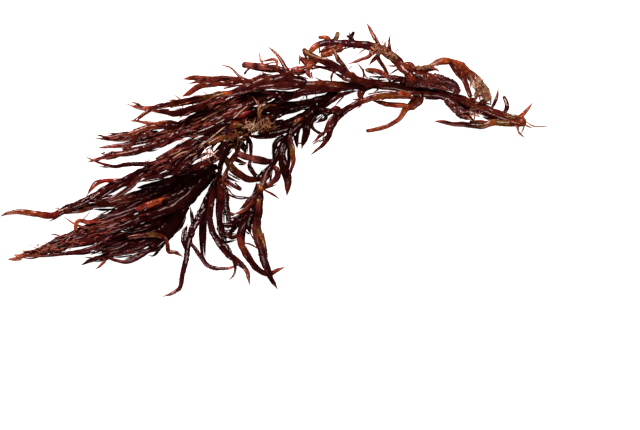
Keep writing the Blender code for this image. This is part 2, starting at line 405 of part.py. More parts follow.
def draw_in_plan(strand, parent):
    """Sets the strand's rings in plan, its arc lengths and its half widths."""
    route = strand.route
    if parent is not None:
        root = Vector(route[0]) * MM
        last = max(1, len(parent.plan) - 1)
        strand.at = min(range(last), key=lambda i: (parent.plan[i] - root).length)
        route = [tuple(parent.plan[strand.at] / MM), *route[1:]]
    strand.plan = ring_places(curve_points(route))
    strand.arc = [0.0]
    for a, b in zip(strand.plan, strand.plan[1:]):
        strand.arc.append(strand.arc[-1] + (b - a).length)
    strand.half_width = [max(THINNEST, width_at(strand, s / strand.arc[-1]) / 2) for s in strand.arc]


def grow_branchlets(frond):
    """Adds the frond's small side blades as strands, alternate left and right of the one that bears them."""
    for group in frond.branchlets:
        draw = random.Random(group.seed)
        bearer = frond.strands[group.on]
        for i in range(group.count):
            t = group.first + (group.last - group.first) * (i + 0.5 * draw.random()) / group.count
            ring = min(len(bearer.plan) - 2, int(t * (len(bearer.plan) - 1)))
            root = bearer.plan[ring] / MM
            ahead = (bearer.plan[ring + 1] - bearer.plan[ring]).normalized()
            side = 1 if i % 2 else -1
            angle = math.radians(group.spread) * side * draw.uniform(0.75, 1.3)
            out = Vector((ahead.x * math.cos(angle) - ahead.y * math.sin(angle),
                          ahead.x * math.sin(angle) + ahead.y * math.cos(angle)))
            length = group.length * draw.uniform(0.7, 1.25)
            middle = root + out * length * 0.5
            tip = middle + (out * 0.5 + ahead * 0.5).normalized() * length * 0.5
            width = group.width * draw.uniform(0.85, 1.2)
            branchlet = Strand([tuple(root), tuple(middle), tuple(tip)], width, on=group.on, sides=TWIG_SIDES)
            draw_in_plan(branchlet, bearer)
            frond.strands.append(branchlet)


class Heap:
    """How high the plant already lies at each place of the surface."""

    def __init__(self):
        self.counts = [int(2 * half / HEAP_CELL) for half in HEAP_HALF_SIZE]
        self.top = np.zeros(self.counts)

    def _cells(self, place, reach):
        """The slice of cells round a place, and which of them lie within reach of it."""
        low = [max(0, int((place[k] - reach + HEAP_HALF_SIZE[k]) / HEAP_CELL)) for k in (0, 1)]
        high = [min(self.counts[k], int((place[k] + reach + HEAP_HALF_SIZE[k]) / HEAP_CELL) + 2) for k in (0, 1)]
        x = (np.arange(low[0], high[0]) + 0.5) * HEAP_CELL - HEAP_HALF_SIZE[0] - place[0]
        y = (np.arange(low[1], high[1]) + 0.5) * HEAP_CELL - HEAP_HALF_SIZE[1] - place[1]
        near = x[:, None] ** 2 + y[None, :] ** 2 <= (reach + HEAP_CELL) ** 2
        return np.s_[low[0]:high[0], low[1]:high[1]], near

    def height(self, place, reach):
        window, near = self._cells(place, reach)
        return float((self.top[window] * near).max())

    def add(self, place, reach, top):
        window, near = self._cells(place, reach)
        self.top[window] = np.maximum(self.top[window], top * near)


def half_thickness(strand, i):
    return max(THINNEST, strand.half_width[i] * strand.flatness)


def half_height(strand, i):
    """How far the flat side that the strand lies on is below its centre at ring i."""
    return half_thickness(strand, i) * math.cos(math.pi / strand.sides)


def along(strand, i):
    """Close places on the straight run from ring i to the next, with the larger half width and height."""
    a, b = strand.plan[i], strand.plan[i + 1]
    count = max(2, int((b - a).length / HEAP_CELL) + 1)
    reach = max(strand.half_width[i], strand.half_width[i + 1])
    for k in range(count + 1):
        yield k / count, a.lerp(b, k / count), reach


def needed_heights(strand, heap, gap, share=1.0):
    """The least height of each ring's centre that keeps the strand off what already lies there."""
    need = [half_height(strand, i) for i in range(len(strand.plan))]
    for i in range(len(strand.plan) - 1):
        under = max(heap.height(place, reach + gap) for _, place, reach in along(strand, i))
        for ring in (i, i + 1):
            lift = under + gap if under > 0 else 0.0
            need[ring] = max(need[ring], lift + half_height(strand, ring) * share)
    return need


def eased(need, arc, slope):
    """The need, raised so that the strand climbs and falls no steeper than the slope."""
    height = list(need)
    for i in range(1, len(height)):
        height[i] = max(height[i], height[i - 1] - slope * (arc[i] - arc[i - 1]))
    for i in range(len(height) - 2, -1, -1):
        height[i] = max(height[i], height[i + 1] - slope * (arc[i + 1] - arc[i]))
    return height


def lay_down(frond, heap):
    """Sets the height of every ring of the frond, and adds the frond to the heap."""
    need = [needed_heights(s, heap, LAYER_GAP) for s in frond.strands]
    for k in range(len(frond.strands) - 1, 0, -1):
        strand = frond.strands[k]
        root_need = eased(need[k], strand.arc, SLOPE)[0]
        need[strand.on][strand.at] = max(need[strand.on][strand.at], root_need)
    own = Heap()
    for k, strand in enumerate(frond.strands):
        if strand.on < 0:
            strand.height = eased(need[k], strand.arc, SLOPE)
        else:
            bearer = frond.strands[strand.on]
            need[k][0] = bearer.height[strand.at]
            hard = eased(need[k], strand.arc, SLOPE)
            piled = eased(needed_heights(strand, own, 0.0, 1 - SINK), strand.arc, SLOPE)
            clear = bearer.half_width[strand.at]
            strand.height = [
                max(low, min(high, low + PILE_MOST, hard[0] + STEEP_SLOPE * max(0.0, s - clear)))
                for low, high, s in zip(hard, piled, strand.arc)
            ]
        strand.height = [z + SETTLE * k if i or strand.on < 0 else z for i, z in enumerate(strand.height)]
        for i in range(len(strand.plan) - 1):
            for t, place, reach in along(strand, i):
                top = strand.height[i] * (1 - t) + strand.height[i + 1] * t
                own.add(place, reach, top + max(half_thickness(strand, i), half_thickness(strand, i + 1)))
    heap.top = np.maximum(heap.top, own.top)


def ring_corners(centre, ahead, half_width, half_thick, sides):
    """The corners of one upright cross-section: a flattened polygon that lies on one of its sides."""
    across = Vector((ahead.y, -ahead.x, 0)).normalized()
    for k in range(sides):
        angle = 2 * math.pi * (k + 0.5) / sides - math.pi / 2
        yield centre + across * math.cos(angle) * half_width + Vector((0, 0, math.sin(angle) * half_thick))


def strand_object(name, strand):
    """A closed tapering tube through the strand's rings."""
    centres = [Vector((p.x - SPRIG_CENTRE[0], p.y - SPRIG_CENTRE[1], z))
               for p, z in zip(strand.plan, strand.height)]
    corners = []
    for i, centre in enumerate(centres):
        before, after = centres[max(0, i - 1)], centres[min(len(centres) - 1, i + 1)]
        corners += ring_corners(centre, after - before, strand.half_width[i], half_thickness(strand, i),
                                strand.sides)
    sides, rings = strand.sides, len(centres)
    faces = []
    for i in range(rings - 1):
        for k in range(sides):
            a, b = i * sides + k, i * sides + (k + 1) % sides
            faces.append((a, a + sides, b + sides, b))
    faces.append(tuple(range(sides)))
    faces.append(tuple((rings - 1) * sides + k for k in reversed(range(sides))))
    mesh = bpy.data.meshes.new(name)
    mesh.from_pydata([tuple(c) for c in corners], [], faces)
    mesh.update()
    made = bpy.data.objects.new(name, mesh)
    bpy.context.scene.collection.objects.link(made)
    return made


def material(name):
    """The Principled material of a colour of the plant."""
    found = bpy.data.materials.get(name)
    if found:
        return found
    made = bpy.data.materials.new(name)
    made.use_nodes = True
    shader = made.node_tree.nodes["Principled BSDF"]
    colour, roughness = COLOURS[name]
    shader.inputs["Base Color"].default_value = (*colour, 1.0)
    shader.inputs["Roughness"].default_value = roughness
    shader.inputs["Metallic"].default_value = 0.0
    return made


def fuse(body, others):
    """Joins the other strands to the body with one Boolean union, and removes them."""
    group = bpy.data.collections.new(body.name + "_strands")
    bpy.context.scene.collection.children.link(group)
    for other in others:
        bpy.context.scene.collection.objects.unlink(other)
        group.objects.link(other)
    union = body.modifiers.new("union", "BOOLEAN")
    union.operation = "UNION"
    union.operand_type = "COLLECTION"
    union.collection = group
    bpy.context.view_layer.objects.active = body
    bpy.ops.object.modifier_apply(modifier=union.name)
    for other in others:
        bpy.data.objects.remove(other)
    bpy.data.collections.remove(group)


def skins(shape):
    """The mesh's connected skins, each as a list of faces."""
    shape.faces.ensure_lookup_table()
    waiting = set(shape.faces)
    while waiting:
        skin, edge_of_search = [], [waiting.pop()]
        while edge_of_search:
            face = edge_of_search.pop()
            skin.append(face)
            for edge in face.edges:
                for other in edge.link_faces:
                    if other in waiting:
                        waiting.remove(other)
                        edge_of_search.append(other)
        yield skin


def fill_hollows(body):
    """Keeps the body's outer skin alone, so that no hollow is left sealed among its fused strands."""
    shape = bmesh.new()
    shape.from_mesh(body.data)
    outer, *inner = sorted(skins(shape), key=lambda skin: sum(f.calc_area() for f in skin), reverse=True)
    for skin in inner:
        bmesh.ops.delete(shape, geom=skin, context="FACES")
    shape.to_mesh(body.data)
    shape.free()


def build_frond(frond):
    """One node: the frond's strands fused into one body, in its colour."""
    objects = [strand_object(frond.name if k == 0 else f"{frond.name}_{k}", strand)
               for k, strand in enumerate(frond.strands)]
    body = objects[0]
    if len(objects) > 1:
        fuse(body, objects[1:])
        fill_hollows(body)
    body.data.materials.clear()
    body.data.materials.append(material(frond.colour))
    body.data.shade_smooth()
    body.data.set_sharp_from_angle(angle=math.radians(50))


def sprig():
    """The whole plant, drawn in plan and laid down, ready to be built."""
    heap = Heap()
    plant = fronds()
    for frond in plant:
        for strand in frond.strands:
            draw_in_plan(strand, frond.strands[strand.on] if strand.on >= 0 else None)
        grow_branchlets(frond)
        lay_down(frond, heap)
    return plant


def main():
    for old in list(bpy.data.objects):
        bpy.data.objects.remove(old)
    for frond in sprig():
        build_frond(frond)


main()
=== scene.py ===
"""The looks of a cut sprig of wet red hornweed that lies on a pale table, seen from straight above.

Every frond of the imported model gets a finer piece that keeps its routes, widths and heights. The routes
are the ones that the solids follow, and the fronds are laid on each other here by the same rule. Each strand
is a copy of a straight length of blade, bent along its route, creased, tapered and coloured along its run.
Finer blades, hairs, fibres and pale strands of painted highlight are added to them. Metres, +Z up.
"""

import logging
import math
import random
from dataclasses import dataclass, field, replace
from enum import Enum
from typing import Iterator

import bmesh
import bpy
import numpy as np
from bpy.types import Material, Node, Object
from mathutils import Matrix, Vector


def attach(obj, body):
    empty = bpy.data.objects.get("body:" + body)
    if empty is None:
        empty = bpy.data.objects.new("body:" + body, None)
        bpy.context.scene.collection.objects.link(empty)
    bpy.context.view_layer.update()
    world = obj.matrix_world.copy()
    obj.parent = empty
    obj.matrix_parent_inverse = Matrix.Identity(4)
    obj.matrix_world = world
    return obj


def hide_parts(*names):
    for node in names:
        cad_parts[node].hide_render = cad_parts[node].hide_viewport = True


# Types that repeat. A route holds points in plan, in millimetres.
Pair = tuple[float, float]
Triple = tuple[float, float, float]
Route = list[Pair]

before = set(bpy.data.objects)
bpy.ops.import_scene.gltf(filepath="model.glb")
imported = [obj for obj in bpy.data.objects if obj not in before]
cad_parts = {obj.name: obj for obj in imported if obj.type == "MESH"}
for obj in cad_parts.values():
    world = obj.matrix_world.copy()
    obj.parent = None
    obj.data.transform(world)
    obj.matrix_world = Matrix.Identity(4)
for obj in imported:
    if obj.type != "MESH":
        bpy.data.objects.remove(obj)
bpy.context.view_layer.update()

LOG = logging.getLogger("sprig")
MM = 0.001

# Driving sizes that the sprig shares with its solids.
AXIS_SIDES = 6
BLADE_SIDES = 5
TWIG_SIDES = 3
RING_STEP = 5.0 * MM
RING_STEP_LEAST = 1.3 * MM
RING_TURN = math.radians(24)
THINNEST = 0.3 * MM
BLADE_FLATNESS = 0.62
AXIS_FLATNESS = 0.86
SPRIG_CENTRE = (0.5 * MM, -0.5 * MM)
HEAP_CELL = 0.5 * MM
HEAP_HALF_SIZE = (125 * MM, 70 * MM)
LAYER_GAP = 0.35 * MM
SLOPE = 0.42
STEEP_SLOPE = 0.9
SETTLE = 0.02 * MM
SINK = 0.5
PILE_MOST = 2.4 * MM

# The outline of a strand of one width, as shares of that width and of its length.
ROOT_WIDTH, ROOT_RISE, ROOT_LENGTH = 0.62, 0.38, 0.25
TIP_WIDTH, BLUNT_TIP_WIDTH = 0.16, 0.72
TAPER_START, TAPER_LENGTH, TAPER_POWER = 0.45, 0.55, 1.6

# What only the finer blades need.
TOUCH = 0.6 * MM
ROOF = 23.4 * MM
LOW_SLOPE = 0.25
STREAK_SLOPE = 0.14
REDRAWS = 7
FIBRE_FLATNESS = 0.9
FLOOR_GAP = 0.02 * MM


class Shade(Enum):
    """Colours of the wet plant. A look is a word of their letters, read from a strand's root to its tip."""

    BLACK = ("k", (0.011, 0.0013, 0.0015))
    PLUM = ("p", (0.032, 0.0050, 0.0090))
    WINE = ("w", (0.044, 0.0052, 0.0046))
    BROWN = ("b", (0.100, 0.0180, 0.0085))
    RED = ("r", (0.150, 0.0130, 0.0100))
    RUST = ("u", (0.200, 0.0420, 0.0120))
    ORANGE = ("o", (0.270, 0.0560, 0.0160))
    AMBER = ("a", (0.190, 0.0720, 0.0170))
    OLIVE = ("g", (0.110, 0.0560, 0.0100))
    ROSE = ("n", (0.270, 0.0740, 0.0580))
    TAN = ("t", (0.330, 0.1900, 0.1150))
    PALE = ("f", (0.560, 0.4200, 0.3100))


class Mark(Enum):
    """Words that a row of strands or thickets may hold, with what each sets."""

    BLUNT = ("blunt", {"blunt": True})
    TWIG = ("twig", {"sides": TWIG_SIDES})
    ROUND = ("round", {"sides": AXIS_SIDES, "flatness": AXIS_FLATNESS})
    TOP = ("top", {"on_top": True})


SHADES = {shade.value[0]: shade.value[1] for shade in Shade}
MARKS = {mark.value[0]: mark.value[1] for mark in Mark}


def smooth_step(t: float) -> float:
    """Gives 0 below t = 0, 1 above t = 1, and a smooth rise between them."""
    t = min(1.0, max(0.0, t))
    return t * t * (3 - 2 * t)


def turned(direction: Vector, angle: float) -> Vector:
    """Gives a direction in plan, turned to the left by an angle in radians."""
    return Vector((direction.x * math.cos(angle) - direction.y * math.sin(angle),
                   direction.x * math.sin(angle) + direction.y * math.cos(angle)))


def curve_points(route: Route, per_span: int = 12) -> list[Vector]:
    """Draws a smooth curve through a route.

    Args:
        route: points in plan, in millimetres.
        per_span: how many points are read from each span.

    Returns:
        Close points along the curve, in metres.
    """
    points = [Vector((x * MM, y * MM)) for x, y in route]
    ends = [2 * points[0] - points[1], *points, 2 * points[-1] - points[-2]]
    found = []
    for i in range(1, len(ends) - 2):
        a, b, c, d = ends[i - 1:i + 3]
        for k in range(per_span):
            t = k / per_span
            found.append(0.5 * (2 * b + (c - a) * t + (2 * a - 5 * b + 4 * c - d) * t * t
                                + (3 * b - a - 3 * c + d) * t ** 3))
    return [*found, points[-1]]


def ring_places(points: list[Vector]) -> list[int]:
    """Finds where the solid has a ring: many on a bend, few on a straight.

    Args:
        points: close points along a strand.

    Returns:
        The numbers of the points that are kept.
    """
    kept, run, turn = [0], 0.0, 0.0
    for i in range(1, len(points) - 1):
        step, following = points[i] - points[i - 1], points[i + 1] - points[i]
        run += step.length
        turn += abs(step.angle_signed(following))
        if run >= RING_STEP or (turn >= RING_TURN and run >= RING_STEP_LEAST):
            kept.append(i)
            run, turn = 0.0, 0.0
    if (points[-1] - points[kept[-1]]).length < RING_STEP_LEAST and len(kept) > 2:
        kept.pop()
    return [*kept, len(points) - 1]


def eased(need: list[float], arc: list[float], slope: float) -> list[float]:
    """Raises the needed heights so that the strand climbs and falls no steeper than the slope.

    Args:
        need: the least height of each ring.
        arc: the arc length at each ring.
        slope: the steepest climb.

    Returns:
        The height of each ring.
    """
    height = list(need)
    for i in range(1, len(height)):
        height[i] = max(height[i], height[i - 1] - slope * (arc[i] - arc[i - 1]))
    for i in range(len(height) - 2, -1, -1):
        height[i] = max(height[i], height[i + 1] - slope * (arc[i + 1] - arc[i]))
    return height


class Heap:
    """How high the plant already lies at each place of the surface."""

    def __init__(self) -> None:
        """Starts with a bare surface."""
        self.counts = [int(2 * half / HEAP_CELL) for half in HEAP_HALF_SIZE]
        self.top = np.zeros(self.counts)

    def _cells(self, place: Vector, reach: float) -> tuple[tuple[slice, slice], np.ndarray]:
        """Finds the cells near a place.

        Args:
            place: a point in plan.
            reach: how far from it the cells lie at most.

        Returns:
            The window of cells round the place, and which of them lie within reach.
        """
        low = [max(0, int((place[k] - reach + HEAP_HALF_SIZE[k]) / HEAP_CELL)) for k in (0, 1)]
        high = [min(self.counts[k], int((place[k] + reach + HEAP_HALF_SIZE[k]) / HEAP_CELL) + 2)
                for k in (0, 1)]
        x = (np.arange(low[0], high[0]) + 0.5) * HEAP_CELL - HEAP_HALF_SIZE[0] - place[0]
        y = (np.arange(low[1], high[1]) + 0.5) * HEAP_CELL - HEAP_HALF_SIZE[1] - place[1]
        near = x[:, None] ** 2 + y[None, :] ** 2 <= (reach + HEAP_CELL) ** 2
        return np.s_[low[0]:high[0], low[1]:high[1]], near

    def height(self, place: Vector, reach: float) -> float:
        """Gives the highest point of the heap within reach of a place."""
        window, near = self._cells(place, reach)
        return float((self.top[window] * near).max())

    def add(self, place: Vector, reach: float, top: float) -> None:
        """Raises the heap to a height within reach of a place."""
        window, near = self._cells(place, reach)
        self.top[window] = np.maximum(self.top[window], top * near)


@dataclass
class Strand:
    """One blade, spine or axis: its route in plan and its full width, both in millimetres.

    The width is one number, or several that are spread along the strand. least is the least half width in
    metres. The fields after it are worked out when the strand is drawn and laid down.
    """

    route: Route
    width: float | tuple[float, ...]
    on: int = -1
    blunt: bool = False
    flatness: float = BLADE_FLATNESS
    sides: int = BLADE_SIDES
    look: str = ""
    least: float = THINNEST
    at: int = 0
    curve: list[Vector] = field(default_factory=list)
    rings: list[int] = field(default_factory=list)
    plan: list[Vector] = field(default_factory=list)
    arc: list[float] = field(default_factory=list)
    half_width: list[float] = field(default_factory=list)
    height: list[float] = field(default_factory=list)

    def width_at(self, t: float) -> float:
        """Works out how wide the strand is.

        Args:
            t: the share of its length, from the root.

        Returns:
            The full width there, in metres.
        """
        if isinstance(self.width, (int, float)):
            rise = ROOT_WIDTH + ROOT_RISE * smooth_step(t / ROOT_LENGTH)
            end = BLUNT_TIP_WIDTH if self.blunt else TIP_WIDTH
            fall = 1 - (1 - end) * max(0.0, (t - TAPER_START) / TAPER_LENGTH) ** TAPER_POWER
            return self.width * rise * fall * MM
        place = t * (len(self.width) - 1)
        low = min(int(place), len(self.width) - 2)
        share = place - low
        return (self.width[low] * (1 - share) + self.width[low + 1] * share) * MM

    def draw(self, bearer: "Strand | None" = None) -> None:
        """Sets the curve, the rings, their arc lengths and their half widths.

        Args:
            bearer: the strand that this one grows from, or None.
        """
        route = self.route
        if bearer is not None:
            root = Vector(route[0]) * MM
            last = max(1, len(bearer.plan) - 1)
            self.at = min(range(last), key=lambda i: (bearer.plan[i] - root).length)
            route = [tuple(bearer.plan[self.at] / MM), *route[1:]]
        self.curve = curve_points(route)
        self.rings = ring_places(self.curve)
        self.plan = [self.curve[i] for i in self.rings]
        self.arc = [0.0]
        for a, b in zip(self.plan, self.plan[1:]):
            self.arc.append(self.arc[-1] + (b - a).length)
        self.half_width = [max(self.least, self.width_at(s / self.arc[-1]) / 2) for s in self.arc]

    def half_thickness(self, i: int) -> float:
        """Gives half the thickness at ring i."""
        return max(self.least, self.half_width[i] * self.flatness)

    def half_height(self, i: int) -> float:
        """Gives how far the flat side that the solid lies on is below its centre at ring i."""
        return self.half_thickness(i) * math.cos(math.pi / self.sides)

    def run(self, i: int) -> Iterator[tuple[float, Vector, float]]:
        """Walks the straight run from ring i to the next.

        Args:
            i: the ring that the run starts from.

        Yields:
            The share of the run, the place, and the larger half width of the two rings.
        """
        a, b = self.plan[i], self.plan[i + 1]
        count = max(2, int((b - a).length / HEAP_CELL) + 1)
        reach = max(self.half_width[i], self.half_width[i + 1])
        for k in range(count + 1):
            yield k / count, a.lerp(b, k / count), reach

    def needed(self, heap: Heap, gap: float, share: float = 1.0) -> list[float]:
        """Works out how high each ring's centre must lie.

        Args:
            heap: what already lies there.
            gap: the air between the two.
            share: the share of its half height by which the strand clears the heap.

        Returns:
            The least height of each ring's centre.
        """
        need = [self.half_height(i) for i in range(len(self.plan))]
        for i in range(len(self.plan) - 1):
            under = max(heap.height(place, reach + gap) for _, place, reach in self.run(i))
            for ring in (i, i + 1):
                lift = under + gap if under > 0 else 0.0
                need[ring] = max(need[ring], lift + self.half_height(ring) * share)
        return need

    def climb(self, bearer: "Strand", need: list[float], own: Heap) -> list[float]:
        """Works out how this strand climbs from the one that bears it.

        Args:
            bearer: the strand that it grows from, already laid down.
            need: its needed heights over the other fronds.
            own: the heap of its own frond.

        Returns:
            The height of each ring's centre.
        """
        need = [bearer.height[self.at], *need[1:]]
        hard = eased(need, self.arc, SLOPE)
        piled = eased(self.needed(own, 0.0, 1 - SINK), self.arc, SLOPE)
        clear = bearer.half_width[self.at]
        return [max(low, min(high, low + PILE_MOST, hard[0] + STEEP_SLOPE * max(0.0, s - clear)))
                for low, high, s in zip(hard, piled, self.arc)]


def rows(text: str, kind: type) -> list:
    """Reads strands or thickets from rows of text that semicolons part.

    A row holds the shades from root to tip if they are its own, @ with the number of the strand that bears
    it, x with a count, the full width or several of them joined by strokes, its marks, other fields with
    their names, and the places of its route. Lengths are in millimetres.

    Args:
        text: the rows, such as "kkw @0 2.4/1.2 blunt 3,4 5,6.5; rn 0.8 1,2 3,4".
        kind: the class that is made of each row.

    Returns:
        What the rows describe, in their order.
    """
    found = []
    for row in text.split(";"):
        fields = {"route": []}
        for word in row.split():
            name, _, value = word.rpartition("=")
            if "," in word:
                fields["route"].append(tuple(float(number) for number in word.split(",")))
            elif word in MARKS:
                fields.update(MARKS[word])
            elif word[0] in "@x":
                fields["on" if word[0] == "@" else "count"] = int(word[1:])
            elif word.isalpha():
                fields["look"] = word
            else:
                numbers = tuple(float(number) for number in value.split("/"))
                fields[name or "width"] = numbers if len(numbers) > 1 else numbers[0]
        found.append(kind(**fields))
    return found


def strands(text: str) -> list[Strand]:
    """Reads strands, which aren't drawn yet, from rows of text."""
    return rows(text, Strand)


@dataclass
class Branchlets:
    """Small side blades along one strand, alternate left and right, drawn with a seed.

    first and last are the shares of the strand where they start and end. length and width are in
    millimetres, and spread is in degrees. turns, lengths and widths are how far single blades vary.
    """

    on: int
    count: int
    length: float
    seed: int
    first: float = 0.12
    last: float = 0.9
    spread: float = 24.0
    width: float = 1.1
    turns: Pair = (0.75, 1.3)
    lengths: Pair = (0.7, 1.25)
    widths: Pair = (0.85, 1.2)


@dataclass(frozen=True)
class Thicket:
    """Many slim blades side by side along a course, which close the gaps of a dense part or streak its top.

    The route and the full widths of the course are in millimetres, and so are the least and greatest length
    and width of a blade. on_top puts them on their own frond, where they would else lie under it. across,
    lean and edge are how far a blade starts, slants and strays from the middle at most, as shares of the
    width, wobble is its unevenness in millimetres, and shorter is what is left of its length at a redraw. The
    starts are spread over the course less the share inside of a blade's length, and at least over least_run.
    """

    route: Route
    width: tuple[float, ...]
    count: int
    look: str
    length: Pair = (9.0, 20.0)
    blade: Pair = (1.0, 1.9)
    on_top: bool = False
    across: float = 0.42
    lean: float = 0.16
    edge: float = 0.48
    wobble: float = 0.3
    shorter: float = 0.86
    inside: float = 0.6
    least_run: float = 0.1 * MM
    steps: int = 4

    def grow(self, draw: random.Random) -> list[Strand]:
        """Draws the blades of the thicket.

        Args:
            draw: the source of its random places and sizes.

        Returns:
            The blades, drawn in plan.
        """
        course = Strand(self.route, self.width)
        points = curve_points(self.route)
        run = [0.0]
        for a, b in zip(points, points[1:]):
            run.append(run[-1] + (b - a).length)
        blades = []
        for i in range(self.count):
            for attempt in range(REDRAWS):
                length = draw.uniform(*self.length) * self.shorter ** attempt * MM
                room = max(self.least_run, run[-1] - self.inside * length)
                start = (i + draw.random()) / self.count * room
                end = min(run[-1], start + length)
                across, lean = draw.uniform(-self.across, self.across), draw.uniform(-self.lean, self.lean)
                route = []
                for k in range(self.steps + 1):
                    s = start + (end - start) * k / self.steps
                    at = min(len(points) - 2, next((n for n, r in enumerate(run) if r >= s), len(points) - 2))
                    ahead = (points[at + 1] - points[at]).normalized()
                    off = max(-self.edge, min(self.edge, across + lean * (2 * k / self.steps - 1)))
                    off *= course.width_at(s / run[-1])
                    off += draw.uniform(-self.wobble, self.wobble) * MM
                    place = points[at] + Vector((-ahead.y, ahead.x)) * off
                    route.append((place.x / MM, place.y / MM))
                blade = Strand(route, draw.uniform(*self.blade), look=self.look)
                blade.draw()
                if CLEARINGS.leave(blade):
                    blades.append(blade)
                    break
        return blades


def thickets(text: str) -> list[Thicket]:
    """Reads thickets from rows of text."""
    return rows(text, Thicket)


class Clearings:
    """The lines in plan, each with its full width, where the table shows and no finer blade lies."""

    step: float = 0.4

    def __init__(self, gaps: list[Strand]) -> None:
        """Gathers close places along the gaps in metres, each with half its gap's width.

        Args:
            gaps: the middle lines of the gaps and their full widths, in millimetres.
        """
        found = []
        for gap in gaps:
            for a, b in zip(gap.route, gap.route[1:]):
                count = max(2, int(math.dist(a, b) / self.step))
                found += [(a[0] + (b[0] - a[0]) * k / count, a[1] + (b[1] - a[1]) * k / count, gap.width / 2)
                          for k in range(count + 1)]
        self.places = np.array(found) * MM

    def leave(self, blade: Strand) -> bool:
        """Tells whether a blade leaves every gap open.

        Args:
            blade: the blade, drawn in plan.

        Returns:
            Whether it does.
        """
        curve = np.array([tuple(p) for p in blade.curve])
        half = np.interp(np.arange(len(curve)), blade.rings, blade.half_width)
        far = np.hypot(*(curve[:, None, k] - self.places[None, :, k] for k in (0, 1)))
        return bool((far > half[:, None] + self.places[None, :, 2]).all())


@dataclass(frozen=True)
class Tuft:
    """Fine fibres that lie loose across each other.

    The middle and the half sizes of their place, their least and greatest length and their width are in
    millimetres. heading and spread are the way that they run, and curl is how far one bends, in degrees.
    widths is how far single fibres vary, scatter how far they lie from the middle, as a share of the half
    sizes, and steps how many spans each is drawn with.
    """

    middle: Pair
    reach: Pair
    count: int
    look: str
    length: Pair = (3.0, 8.0)
    width: float = 0.34
    heading: float = 0.0
    spread: float = 180.0
    curl: float = 130.0
    widths: Pair = (0.7, 1.3)
    scatter: float = 0.5
    steps: int = 4

    def grow(self, draw: random.Random) -> list[Strand]:
        """Draws the fibres.

        Args:
            draw: the source of their random places and bends.

        Returns:
            The fibres, drawn in plan.
        """
        fibres = []
        for _ in range(self.count):
            angle = math.radians(self.heading + self.spread * draw.uniform(-1, 1))
            bend = math.radians(self.curl) * draw.uniform(-1, 1) / self.steps
            step = draw.uniform(*self.length) / self.steps
            place = Vector([m + r * draw.gauss(0, self.scatter) for m, r in zip(self.middle, self.reach)])
            place -= Vector((math.cos(angle), math.sin(angle))) * step * (self.steps / 2)
            route = [tuple(place)]
            for k in range(self.steps):
                place = place + Vector((math.cos(angle + bend * k), math.sin(angle + bend * k))) * step
                route.append(tuple(place))
            fibres.append(fibre(route, self.width * draw.uniform(*self.widths), self.look))
            fibres[-1].draw()
        return fibres


def fibre(route: Route, width: float, look: str) -> Strand:
    """Gives a strand that may be finer than a blade, of a route and a full width in millimetres."""
    return Strand(route, width, look=look, sides=TWIG_SIDES, least=width / 2 * MM, flatness=FIBRE_FLATNESS)


@dataclass(frozen=True)
class Dress:
    """How the strands of a frond are finished.

    look gives the shades, from root to tip, of each strand that has none of its own. crease is the depth of
    the long creases as a share of the width, and beads that of the small swellings. fringe is the number of
    finer side blades to a centimetre of a wide strand, with their spread in degrees, their least and greatest
    length in millimetres, and their look. net is the depth of a net of fine ridges as a share of the width,
    with the shade of a painted highlight on its ridges, if it has one. wet is how much water lies on it.
    """

    look: str = "kkwwb"
    crease: float = 0.1
    beads: float = 0.03
    fringe: float = 0.0
    spread: float = 11.0
    reach: Pair = (4.0, 9.0)
    fringe_look: str = "kwbr"
    net: float = 0.0
    net_painted_highlight: str = ""
    wet: float = 0.45


